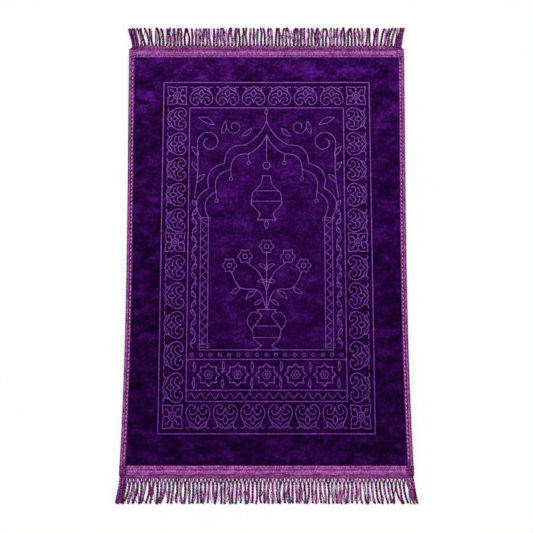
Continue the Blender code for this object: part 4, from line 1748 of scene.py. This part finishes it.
@dataclass
class EndTape(FoldedTape):
    """Ribbed tape across one end, its own ends turned in and tacked at the corners.

    Its top is a smooth curve through a table of heights, with low ribs and a stitched groove,
    plus the turned-in part near each corner with gathers of its own.

    Attributes:
        end: Which short end.
        heights: Height across the tape.
        tones: Paleness across the tape.
        groove: How far in the stitched groove runs on average.
        turned: Length of the turned-in part.
        gather: Pitch of its gathers.
        gather_tones: Usual paleness of the gathers, and how far it swings between painted highlight on
            their ridges and painted shade between them.
        tack: Length of the zigzag next to it.
        zigzag: Length of one zig, and how far it swings to each side.
        round_end: Length of the rounding at both ends.
    """

    end: End = End.FAR
    heights: Bands = FAR_TAPE_HEIGHTS
    tones: Bands = FAR_TAPE_TONES
    groove: float = 20.4 * MM
    turned: float = 20 * MM
    gather: float = 6.7 * MM
    gather_tones: Pair = (0.38, 0.50)
    tack: float = 46 * MM
    zigzag: Pair = (4.4 * MM, 6.6 * MM)
    round_end: float = 2.6 * MM

    def placed(self, along: Array, inset: Array, height: Array) -> Array:
        """Turn places on the tape into points of the frame."""
        y = self.plan.edge(self.end.value) - self.end.value * inset
        return np.stack(np.broadcast_arrays(along, y, height), axis=-1)

    def wander(self, along: Array) -> Array:
        """How far the tape's lines stray inwards at places along."""
        seed = 43 if self.end is End.FAR else 47
        return Ripple(130 * MM, 0.7 * MM, seed).at(along, 0 * along)

    def row(self, along: Array) -> Array:
        """How far in the stitched groove runs."""
        return self.groove + self.wander(along)

    def folded(self, along: Array) -> Array:
        """Share of the turned-in part at places along: 1 at the corner, 0 past it."""
        left = self.plan.half - np.abs(along)
        return 1 / (1 + np.exp((left - self.turned) / (0.7 * MM)))

    def top_height(self, along: Array, inset: Array) -> Array:
        """Work out the height of the tape's top: its bands, or the gathers by a corner.

        Args:
            along: Places along the edge.
            inset: How far in they are.

        Returns:
            The height at each.
        """
        flat = banded(self.heights, inset - self.wander(along)) * MM
        fold = self.folded(along)
        edge = -0.6 * MM * np.clip((inset - 24.2 * MM) / (2.0 * MM), 0, 1) ** 2
        gathered = self.height + 0.35 * MM + 0.45 * MM * self.gathers(along, inset) + edge
        uneven = Ripple(40 * MM, 0.22 * MM, 51).at(along, inset)
        uneven = uneven + Ripple(9 * MM, 0.07 * MM, 52).at(along, inset)
        return flat * (1 - fold) + gathered * fold + uneven

    def gathers(self, along: Array, inset: Array) -> Array:
        """Work out the gathers of the turned-in part: ridges that bend towards its end.

        Args:
            along: Places along the edge.
            inset: How far in they are.

        Returns:
            Values from -1 to 1.
        """
        left = (self.plan.half - np.abs(along)) / self.turned
        bent = inset + 2.4 * MM * left**2 + Ripple(17 * MM, 0.9 * MM, 53).at(along, inset)
        return np.sin(FULL_TURN * bent / self.gather + 0.9)

    def crest(self, along: Array, inset: Array) -> Array:
        """Work out how pale the tape's top is: painted highlight on its ribs and gathers, painted shade
        in its groove, along its outer roll and in the crease where each turned-in part begins.

        Args:
            along: Places along the edge.
            inset: How far in they are.

        Returns:
            Paleness from 0 to 1.
        """
        flat = banded(self.tones, inset - self.wander(along))
        broken = np.clip(Ripple(17 * MM, 1.0, 54).at(along, 0 * along) - 0.2, 0, 1)
        broken = 0.5 * bell(inset, self.row(along), 1.5 * MM) * broken
        # Painted shade: the gathers darken towards the outer roll.
        edge = np.clip((inset - 1.2 * MM) / (1.6 * MM), 0.35, 1)
        usual, swing = self.gather_tones
        gathered = (usual + swing * self.gathers(along, inset)) * edge
        fold = self.folded(along)
        # Painted shade in the crease where the turned-in part begins.
        turn_crease_shade = 0.45 * bell(self.plan.half - np.abs(along), self.turned, 1.0 * MM)
        # Painted shade along the outer roll, in a wavering line.
        stray = Ripple(70 * MM, 1.9 * MM, 55).at(along, 0 * along)
        outer_edge_shade = 0.80 * bell(inset - stray, 2.4 * MM, 0.9 * MM) * (1 - fold)
        pale = (flat + broken) * (1 - fold) + gathered * fold
        return np.clip(pale - turn_crease_shade - outer_edge_shade, 0, 1)

    def stations(self) -> Array:
        """Space the sections, closer together where the ends are rounded.

        Returns:
            X of each.
        """
        cap = self.plan.half - self.round_end * (1 - np.sin(np.linspace(0, math.pi / 2, 7)))
        inner = np.linspace(-cap[0], cap[0], int(2 * cap[0] / self.step) + 1)
        return np.concatenate([-cap[:0:-1], inner, cap[1:]])

    def closing(self, along: Array) -> Array:
        """Round the ends: a quarter ellipse over the last millimetres."""
        past = np.clip((np.abs(along) - (self.plan.half - self.round_end)) / self.round_end, 0, 1)
        return np.sqrt(np.clip(1 - past**2, 0.0004, 1))

    def stitches(self) -> tuple[Array, Array, Array]:
        """Set out a dim row of stitches and a pale zigzag by each corner.

        Returns:
            Start, end and paleness of each.
        """
        clear = self.plan.half - self.turned - 2 * MM
        inner = clear - self.tack
        count = int(2 * inner / self.pitch)
        hole = np.linspace(-inner, inner, count + 1)[:-1]
        step = 2 * inner / count
        start = np.column_stack([hole + 1.4 * MM, self.row(hole + 1.4 * MM)])
        end = np.column_stack([hole + step - 1.4 * MM, self.row(hole + step - 1.4 * MM)])
        length, swing = self.zigzag
        teeth = int(self.tack / length)
        tooth = inner + np.arange(teeth + 1) * length
        sway = np.where(np.arange(teeth + 1) % 2 == 0, swing, -swing)
        zig = np.column_stack([tooth, self.width / 2 + sway])
        zag = zig * (-1, 1)
        starts = np.vstack([start, zig[:-1], zag[:-1]])
        pale = np.concatenate([np.full(count, -0.30), np.full(2 * teeth, 0.30)])
        return starts, np.vstack([end, zig[1:], zag[1:]]), pale


@dataclass
class Fringe(Piece):
    """A woven heading with a row of knotted, twisted strands.

    Every strand is a tube whose section is the outline of two round plies side by side,
    r = c |cos a| + sqrt(p * p - c * c * sin a ** 2), turned steadily along the strand.

    Attributes:
        name: The piece's name.
        node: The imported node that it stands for.
        plan: The rug's outline.
        finish: The yarn.
        end: Which short end.
        root_inset: How far in from the corner the first root stands.
        heading: Width of the heading.
        ladder: Length of the crossing yarns between heading and knots.
        splay: How far the outermost tips stand out.
        drift: How far the other tips lean out, at the most.
        paleness: Usual tone of a strand.
        seed: Which uneven leans the strands have.
        strands: How many.
        strays: How many thinner loose yarns lie between them.
        ply: Radius of a ply.
        apart: Distance from the strand's middle to a ply's middle.
        flat: Height of a strand over its width, as soft yarn lies.
        twist: Length of a full turn of the plies.
        reach: How far from a corner the tips begin to lean out more.
        rings: Rings along a strand.
        lie: Height of a resting strand's middle over half of the strand's height.
    """

    name: str
    node: str
    plan: RugPlan
    finish: YarnFinish
    end: End
    root_inset: float
    heading: float
    ladder: float
    splay: float
    drift: float
    paleness: float
    seed: int
    strands: int = 74
    strays: int = 150
    ply: float = 2.15 * MM
    apart: float = 1.18 * MM
    flat: float = 0.66
    twist: float = 15 * MM
    reach: float = 90 * MM
    rings: int = 40
    lie: float = 1.02

    @property
    def length(self) -> float:
        """How far the tips stand out from the cloth's edge."""
        tip = self.plan.far_tip if self.end is End.FAR else self.plan.near_tip
        return abs(tip - self.plan.edge(self.end.value))

    @property
    def thick(self) -> float:
        """Half of a strand's height."""
        return (self.ply + self.apart) * self.flat

    @property
    def roots(self) -> Array:
        """X of the roots, one more than there are strands."""
        half = self.plan.half - self.root_inset
        return np.linspace(-half, half, self.strands + 1)

    @property
    def knots(self) -> Array:
        """X of the knots, half way between the roots."""
        return (self.roots[1:] + self.roots[:-1]) / 2

    def placed(self, x: Array, out: Array, height: Array) -> Array:
        """Turn x, how far out and height into points of the frame."""
        y = self.plan.edge(self.end.value) + self.end.value * out
        return np.stack(np.broadcast_arrays(x, y, height), axis=-1)

    def outline(self, angle: Array) -> Array:
        """Reach of the two plies' outline at an angle from the line through their middles."""
        across = self.ply**2 - (self.apart * np.sin(angle)) ** 2
        return self.apart * np.abs(np.cos(angle)) + np.sqrt(np.maximum(across, 0))

    def yarns(self, centre: Array, size: Array, start: Array, tone: Array, around: int = 12) -> Shape:
        """Carry the two-ply section along many middle lines at once.

        Args:
            centre: Middle lines as yarn, ring, and x, out, height.
            size: Scale of the section at each ring of each yarn.
            start: Angle of the plies at each yarn's start.
            tone: Paleness of each yarn and ring.
            around: Points in a ring.

        Returns:
            The yarns as one shape.
        """
        along = np.gradient(centre, axis=1)
        along /= np.linalg.norm(along, axis=2, keepdims=True)
        beside = np.cross(along, (0.0, 0.0, 1.0))
        beside /= np.linalg.norm(beside, axis=2, keepdims=True)
        above = np.cross(beside, along)
        steps = np.linalg.norm(np.diff(centre, axis=1), axis=2)
        run = np.concatenate([np.zeros((len(centre), 1)), np.cumsum(steps, axis=1)], axis=1)
        turn = np.linspace(0, FULL_TURN, around, endpoint=False) - math.pi / 2
        ply_turn = start[:, None] + run * FULL_TURN / self.twist
        radius = self.outline(turn[None, None] - ply_turn[..., None]) * size[..., None]
        sideways, upward = radius * np.cos(turn), radius * np.sin(turn) * self.flat
        grid = centre[:, :, None] + beside[:, :, None] * sideways[..., None]
        grid = grid + above[:, :, None] * upward[..., None]
        low, high = self.outline(np.array(math.pi / 2)), self.outline(np.array(0.0))
        ridge = np.clip((radius / size[..., None] - low) / (high - low), 0, 1)
        # Painted light: paler on the plies' tops and on the side that faces up, darker between the
        # plies and underneath.
        crest = 0.3 * ridge + 0.7 * np.clip(np.sin(turn), 0, 1) ** 1.5
        pale = np.broadcast_to(tone[..., None], crest.shape)
        share = (turn + math.pi / 2) / FULL_TURN
        yarn = np.stack(np.broadcast_arrays(run[..., None], share), axis=-1)
        points = self.placed(*np.moveaxis(grid, -1, 0))
        return tubes(points, {"crest": crest, "tone": pale}, yarn)

    def tips(self, draw: np.random.Generator, home: Array) -> Array:
        """Choose how far each tip moves sideways from its knot.

        Tips lean outwards, more so at the corners, and neighbours draw together in twos and
        threes, as loose yarn does.

        Args:
            draw: Source of random values.
            home: X of the knots.

        Returns:
            The move of each tip.
        """
        half = self.plan.half - self.root_inset
        corner = np.clip(1 - (half - np.abs(home)) / self.reach, 0, 1)
        lean = np.sign(home) * (self.splay * corner**0.6 + self.drift * np.abs(home) / half)
        pull = draw.normal(0, 1.3 * MM, len(home))
        pitch = home[1] - home[0]
        index = 0
        while index < len(home) - 3:
            size = int(draw.choice([1, 2, 2, 3]))
            group = np.arange(index, index + size)
            toward = (group.mean() - group) * pitch
            pull[group] = toward * draw.uniform(0.0, 0.55) + draw.normal(0, 1.1 * MM, size)
            index += size
        return lean + pull

    def strand_lines(self, draw: np.random.Generator) -> tuple[Array, Array]:
        """Lay the strands from their knots to their tips.

        Where neighbours come closer than a strand is wide, every other one rides up on them, by
        the height at which two round yarns touch.

        Args:
            draw: Source of random values.

        Returns:
            Middle lines as strand, ring, and x, out, height, and the size at each ring.
        """
        home = self.knots
        knot = self.heading + self.ladder
        t = np.linspace(0, 1, self.rings)
        move = self.tips(draw, home)[:, None]
        curl = draw.normal(0, 1.1 * MM, (2, self.strands, 1))
        hook = draw.normal(0, 2.4 * MM, (self.strands, 1)) * np.clip((t - 0.60) / 0.40, 0, 1) ** 1.6
        bend = draw.uniform(0.9, 2.6, (self.strands, 1))
        x = home[:, None] + move * t**bend + hook
        x = x + curl[0] * np.sin(math.pi * t) + curl[1] * np.sin(FULL_TURN * t) * t
        cut = draw.uniform(0.8 * MM, 3.4 * MM, (self.strands, 1))
        out = knot + (self.length - SPACING - cut - knot) * t
        wide = 2 * (self.ply + self.apart) * 0.88
        gap = np.diff(x, axis=0)
        ride = np.sqrt(np.clip(wide**2 - gap**2, 0, None)) * self.flat
        lift = np.zeros_like(x)
        lift[1::2] = ride[0::2][: len(lift[1::2])]
        lift[1:-1:2] = np.maximum(lift[1:-1:2], ride[1::2][: len(lift[1:-1:2])])
        kernel = np.hanning(9) / np.hanning(9).sum()
        eased = [np.convolve(np.pad(row, 4, mode="edge"), kernel, "valid") for row in lift]
        size = np.where(t > 0.97, 0.93, 1.0) * (1 + 0.08 * bell(t, 0.95, 0.05))
        size = size * (0.95 + 0.22 * np.exp(-t / 0.22))
        rest = self.thick * self.lie * np.maximum(size, 1.0)
        height = rest + np.array(eased) + 0.5 * MM * np.exp(-t / 0.08)
        return np.stack([x, out, height], axis=-1), np.broadcast_to(size, x.shape)

    def strand_shape(self, draw: np.random.Generator) -> Shape:
        """Make the strands.

        Args:
            draw: Source of random values.

        Returns:
            The strands as one shape.
        """
        centre, size = self.strand_lines(draw)
        darker = 0.35 * np.clip((np.linspace(0, 1, self.rings) - 0.88) / 0.12, 0, 1)
        tone = draw.normal(self.paleness, 0.22, (self.strands, 1)) - darker
        return self.yarns(centre, size, draw.uniform(0, FULL_TURN, self.strands), tone)

    def corner_shape(self, draw: np.random.Generator) -> Shape:
        """Make the gathered strands that lie over the others at each corner.

        Args:
            draw: Source of random values.

        Returns:
            The strands as one shape.
        """
        t = np.linspace(0, 1, self.rings)
        half = self.plan.half - self.root_inset
        first = half - np.array([2.0, 6.0, 10.5, 15.0]) * MM
        count = 2 * len(first)
        home = np.concatenate([-first, first])[:, None]
        reach = np.tile([0.98, 0.80, 0.92, 0.62], 2)[:, None]
        wobble = draw.normal(0, 0.8 * MM, (2, count, 1))
        x = home + np.sign(home) * self.splay * reach * t**1.4
        x = x + wobble[0] * np.sin(FULL_TURN * t) + wobble[1] * t
        start = self.heading - 2 * MM
        cut = draw.uniform(0.5 * MM, 5 * MM, home.shape)
        out = start + (self.length - cut - start) * t
        over = 2 * self.thick * draw.uniform(0.25, 0.7, home.shape)
        height = 2.8 * MM + over * np.sin(math.pi * np.clip(t * 1.25, 0, 1)) ** 0.5 + 0.8 * MM * t
        centre = np.stack(np.broadcast_arrays(x, out, height), axis=-1)
        tone = np.broadcast_to(draw.normal(self.paleness + 0.30, 0.30, (count, 1)) - 0.2 * t, x.shape)
        size = np.broadcast_to(0.92 - 0.36 * t**2, x.shape)
        return self.yarns(centre, size, draw.uniform(0, FULL_TURN, count), tone)

    def stray_shape(self, draw: np.random.Generator) -> Shape:
        """Make the thin loose yarns: half lie low between the strands, half lie over them.

        Args:
            draw: Source of random values.

        Returns:
            The yarns as one shape.
        """
        t = np.linspace(0, 1, self.rings // 2)
        home = draw.choice(self.knots[1:-1], self.strays)[:, None]
        lean = draw.uniform(3.0, 13.0, home.shape) * draw.choice([-1, 1], home.shape) * MM
        by_corner = self.plan.half - np.abs(home) < 30 * MM
        lean = np.where(by_corner, np.sign(home) * np.abs(lean), lean)
        wobble = draw.normal(0, 1.6 * MM, home.shape)
        x = home + lean * t ** draw.uniform(0.8, 1.6, home.shape) + wobble * np.sin(FULL_TURN * t)
        start = self.heading + self.ladder
        out = start + (self.length - draw.uniform(1.0, 12.0, home.shape) * MM - start) * t
        size = np.broadcast_to(draw.uniform(0.15, 0.46, home.shape), x.shape)
        over = 2 * self.thick * (draw.random(home.shape) < 0.5)
        height = self.thick * self.lie * size + over * np.sin(math.pi * t**0.8) ** 0.3
        centre = np.stack(np.broadcast_arrays(x, out, height), axis=-1)
        tone = np.broadcast_to(draw.normal(1.10, 0.40, home.shape), x.shape)
        return self.yarns(centre, size, draw.uniform(0, FULL_TURN, self.strays), tone, 8)

    def leg_shape(self, draw: np.random.Generator) -> Shape:
        """Make the yarns that cross from each root to the knots beside it.

        Each is a quadratic curve from the heading, straight out at first, to its knot.

        Args:
            draw: Source of random values.

        Returns:
            The yarns as one shape.
        """
        t = np.linspace(0, 1, 12)[None, :, None]
        same = np.ones(self.strands)
        curves = []
        for root, sign in ((self.roots[:-1], 1), (self.roots[1:], -1)):
            side = sign * 1.4 * MM
            start = np.column_stack([root + side, same * (self.heading - 1.8 * MM)])
            bend = np.column_stack([root + 1.3 * side, same * (self.heading + 0.62 * self.ladder)])
            stop = np.column_stack([self.knots - 0.4 * side, same * (self.heading + self.ladder)])
            jitter = draw.normal(0, 0.6 * MM, bend.shape)
            a, b, c = start[:, None], (bend + jitter)[:, None], stop[:, None]
            curves.append((1 - t) ** 2 * a + 2 * t * (1 - t) * b + t**2 * c)
        line = np.vstack(curves)
        height = 1.95 * MM + 0.6 * MM * t[..., 0]
        centre = np.concatenate([line, np.broadcast_to(height, line.shape[:2])[..., None]], axis=-1)
        size = np.broadcast_to(draw.uniform(0.54, 0.84, (len(line), 1)), line.shape[:2])
        tone = np.broadcast_to(draw.normal(self.paleness + 0.3, 0.3, (len(line), 1)), line.shape[:2])
        return self.yarns(centre, size, draw.uniform(0, FULL_TURN, len(line)), tone, 8)

    def knot_shape(self, draw: np.random.Generator) -> Shape:
        """Make the knots: low balls with a slanting wrap, radius * (1 + 0.1 * sin(wrap)).

        Args:
            draw: Source of random values.

        Returns:
            The knots as one shape.
        """
        rise = np.linspace(-0.48, 0.48, 7)[None, :, None] * math.pi
        turn = np.linspace(0, FULL_TURN, 10, endpoint=False)[None, None]
        start = draw.uniform(0, FULL_TURN, (self.strands, 1, 1))
        bulge = 1 + 0.10 * np.sin(2 * turn + 3 * rise + start)
        radius = np.cos(rise) * bulge * draw.uniform(0.80, 1.08, start.shape)
        slip = draw.normal(0, 0.8 * MM, start.shape)
        x = self.knots[:, None, None] + 3.4 * MM * radius * np.cos(turn)
        out = self.heading + self.ladder + slip + 2.9 * MM * np.sin(rise) + 0 * turn
        height = 2.65 * MM + 2.5 * MM * radius * np.sin(turn)
        # Painted light: paler on the bulges of the wrap, darker in its grooves.
        crest = np.clip(0.5 + 4 * (bulge - 1) + 0 * radius, 0, 1)
        tone = np.broadcast_to(draw.normal(self.paleness, 0.15, (self.strands, 1, 1)), crest.shape)
        yarn = np.stack(np.broadcast_arrays(3 * MM * rise, turn / FULL_TURN, crest)[:2], axis=-1)
        return tubes(self.placed(x, out, height), {"crest": crest, "tone": tone}, yarn)

    def heading_shape(self) -> Shape:
        """Make the woven heading: a flat strip with wrapped yarns and a ridge near the roots.

        Returns:
            The heading.
        """
        share = np.linspace(0, 1, 9)
        half = self.plan.half - MM - (self.root_inset - MM) * share**0.8
        x = half * np.linspace(-1, 1, int(2 * self.plan.half / (0.9 * MM)))[:, None]
        out = SPACING + (self.heading - SPACING) * share
        wraps = 0.30 * MM * np.sin(FULL_TURN * x / (3.6 * MM) + 9 * share)
        ridge = bell(share, 0.80, 0.14)
        edge = -np.where(share < 0.5, 0.3, 1.1) * MM * (np.abs(2 * share - 1) ** 6)
        over = 3.0 * MM + wraps + 0.55 * MM * ridge + edge
        width = np.broadcast_to(out, over.shape)
        under = self.placed(x[:, ::-1], width[:, ::-1], 0 * over)
        grid = np.concatenate([self.placed(x, width, over), under], axis=1)
        # Painted light: paler where the wraps and the ridge stand up, paler along the strip next to the
        # tape to lessen the crevice's shade, and darkest underneath.
        pale = 0.42 + 0.5 * wraps / (0.6 * MM) + 0.2 * ridge
        crest = np.concatenate([np.clip(pale + 0.45 * (share < 0.2), 0, 1), 0 * over], axis=1)
        corner = np.exp(-(self.plan.half - np.abs(x)) / (22 * MM))
        tone = np.tile(0.86 - 0.44 * corner, (1, 2))
        around = np.concatenate([out, 2 * self.heading - out[::-1]])
        yarn = np.stack(np.broadcast_arrays(x[:, :1], around / (12 * MM)), axis=-1)
        return tubes(grid[None], {"crest": crest[None], "tone": tone[None]}, yarn[None])

    def build(self) -> list[bpy.types.Object]:
        """Make the fringe as one piece.

        Returns:
            The fringe.
        """
        draw = np.random.default_rng(self.seed)
        parts = [self.heading_shape(), self.leg_shape(draw), self.knot_shape(draw)]
        parts += [self.strand_shape(draw), self.corner_shape(draw), self.stray_shape(draw)]
        piece = add_piece(self.name, joined(parts), self.finish.material())
        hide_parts(self.node)
        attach(piece, "root")
        return [self.report(piece)]


# ------------------------------------------------------------------ studio


@dataclass
class Studio:
    """Pale floor, soft light from above, and the camera.

    Attributes:
        look_at: Y of the point on the floor that the camera looks at.
        distance: How far the camera is from it.
        elevation: How high the camera stands, in degrees above the floor.
        view: Focal length for an image width of 1.
        sky: Strength of the even light from all round.
        lamp: Strength of the broad soft light overhead.
        lamp_spread: How wide that light looks, in degrees.
        lamp_from: The direction that it comes from.
    """

    look_at: float = -0.0285
    distance: float = 2.337
    elevation: float = 82.0
    view: float = 831.7 / 533
    sky: float = 0.40
    lamp: float = 2.35
    lamp_spread: float = 32.0
    lamp_from: Triple = (-0.28, 0.42, 1.0)

    def floor(self) -> bpy.types.Object:
        """Lay the floor, a hair below the rug's underside.

        Returns:
            The floor.
        """
        reach, drop = 9.0, -0.2 * MM
        signs = ((-1, -1), (1, -1), (1, 1), (-1, 1))
        corners = np.array([(reach * x, reach * y, drop) for x, y in signs])
        piece = add_piece("studio_floor", Shape(corners, [[0, 1, 2, 3]], {}), FloorFinish().material())
        return piece

    def lights(self) -> None:
        """Hang the soft light and fill the room."""
        world = bpy.data.worlds.new("studio")
        bpy.context.scene.world = world
        world.use_nodes = True
        background = world.node_tree.nodes["Background"]
        background.inputs["Color"].default_value = (1.0, 1.0, 1.0, 1.0)
        background.inputs["Strength"].default_value = self.sky
        light = bpy.data.lights.new("overhead", "SUN")
        light.angle = math.radians(self.lamp_spread)
        light.energy = self.lamp
        holder = bpy.data.objects.new("overhead", light)
        holder.location = Vector(self.lamp_from) * 3
        holder.rotation_euler = (-Vector(self.lamp_from)).to_track_quat("-Z", "Y").to_euler()
        bpy.context.scene.collection.objects.link(holder)

    def camera(self) -> None:
        """Set up the camera of the photograph's view."""
        data = bpy.data.cameras.new("camera")
        data.sensor_width = 36.0
        data.lens = self.view * data.sensor_width
        data.clip_end = 50.0
        holder = bpy.data.objects.new("camera", data)
        rise = math.radians(self.elevation)
        target = Vector((0.0, self.look_at, 0.0))
        back = Vector((0.0, -math.cos(rise), math.sin(rise)))
        holder.location = target + back * self.distance
        holder.rotation_euler = (-back).to_track_quat("-Z", "Y").to_euler()
        bpy.context.scene.collection.objects.link(holder)
        bpy.context.scene.camera = holder

    def build(self) -> bpy.types.Object:
        """Set up the studio.

        Returns:
            Its floor.
        """
        bpy.context.scene.view_settings.view_transform = "Standard"
        self.lights()
        self.camera()
        return self.floor()


def write_sizes() -> None:
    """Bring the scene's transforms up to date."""
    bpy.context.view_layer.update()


def main() -> None:
    logging.basicConfig(level=logging.INFO, format="%(message)s")
    plan = RugPlan.from_frame()
    floor = Studio().build()
    tape = TapeFinish()
    thread = YarnFinish("stitch_thread", *THREAD_TONES)
    yarn = YarnFinish("fringe_yarn", *YARN_TONES)
    border = BorderDesign()
    strokes = border.strokes() + NicheDesign().strokes()
    binding = {"plan": plan, "finish": tape, "thread": thread, "roll": 2.6 * MM, "height": 6.7 * MM}
    binding |= {"width": plan.binding_width, "under": 14.8 * MM, "strand": 1.6 * MM}
    ending = {"plan": plan, "finish": tape, "thread": thread, "roll": 3.2 * MM, "height": 6.5 * MM}
    ending |= {"width": plan.tape_width, "under": 24.6 * MM, "pitch": 9.8 * MM}
    near_bands = {"heights": NEAR_TAPE_HEIGHTS, "tones": NEAR_TAPE_TONES, "groove": 16.2 * MM}
    near_bands |= {"gather_tones": (0.15, 0.22), "tack": 28 * MM}
    far = {"root_inset": 9.0 * MM, "heading": 6.0 * MM, "ladder": 7.0 * MM, "splay": 14.5 * MM}
    far |= {"drift": 3.0 * MM, "paleness": 0.18, "seed": 71, "ply": 2.25 * MM}
    near = {"root_inset": 2.0 * MM, "heading": 8.2 * MM, "ladder": 12.8 * MM, "splay": 12.0 * MM}
    near |= {"drift": 1.5 * MM, "paleness": 0.24, "seed": 83, "reach": 160 * MM}
    pieces: list[Piece] = [
        PilePanel(plan, strokes, PlushFinish(), border.inner),
        SideBinding("binding_tape_left", "binding_left", side=Side.LEFT, **binding),
        SideBinding("binding_tape_right", "binding_right", side=Side.RIGHT, **binding),
        EndTape("ribbed_tape_far", "end_tape_far", end=End.FAR, **ending),
        EndTape("ribbed_tape_near", "end_tape_near", end=End.NEAR, **near_bands, **ending),
        Fringe("yarn_fringe_far", "fringe_far", plan, yarn, End.FAR, **far),
        Fringe("yarn_fringe_near", "fringe_near", plan, yarn, End.NEAR, **near),
    ]
    built = [made for piece in pieces for made in piece.build()]
    hidden = 2 * 1.9 * MM
    flat = (2 * plan.half - hidden, plan.far_edge - plan.near_edge - hidden)
    write_sizes()


if __name__ == "__main__":
    main()
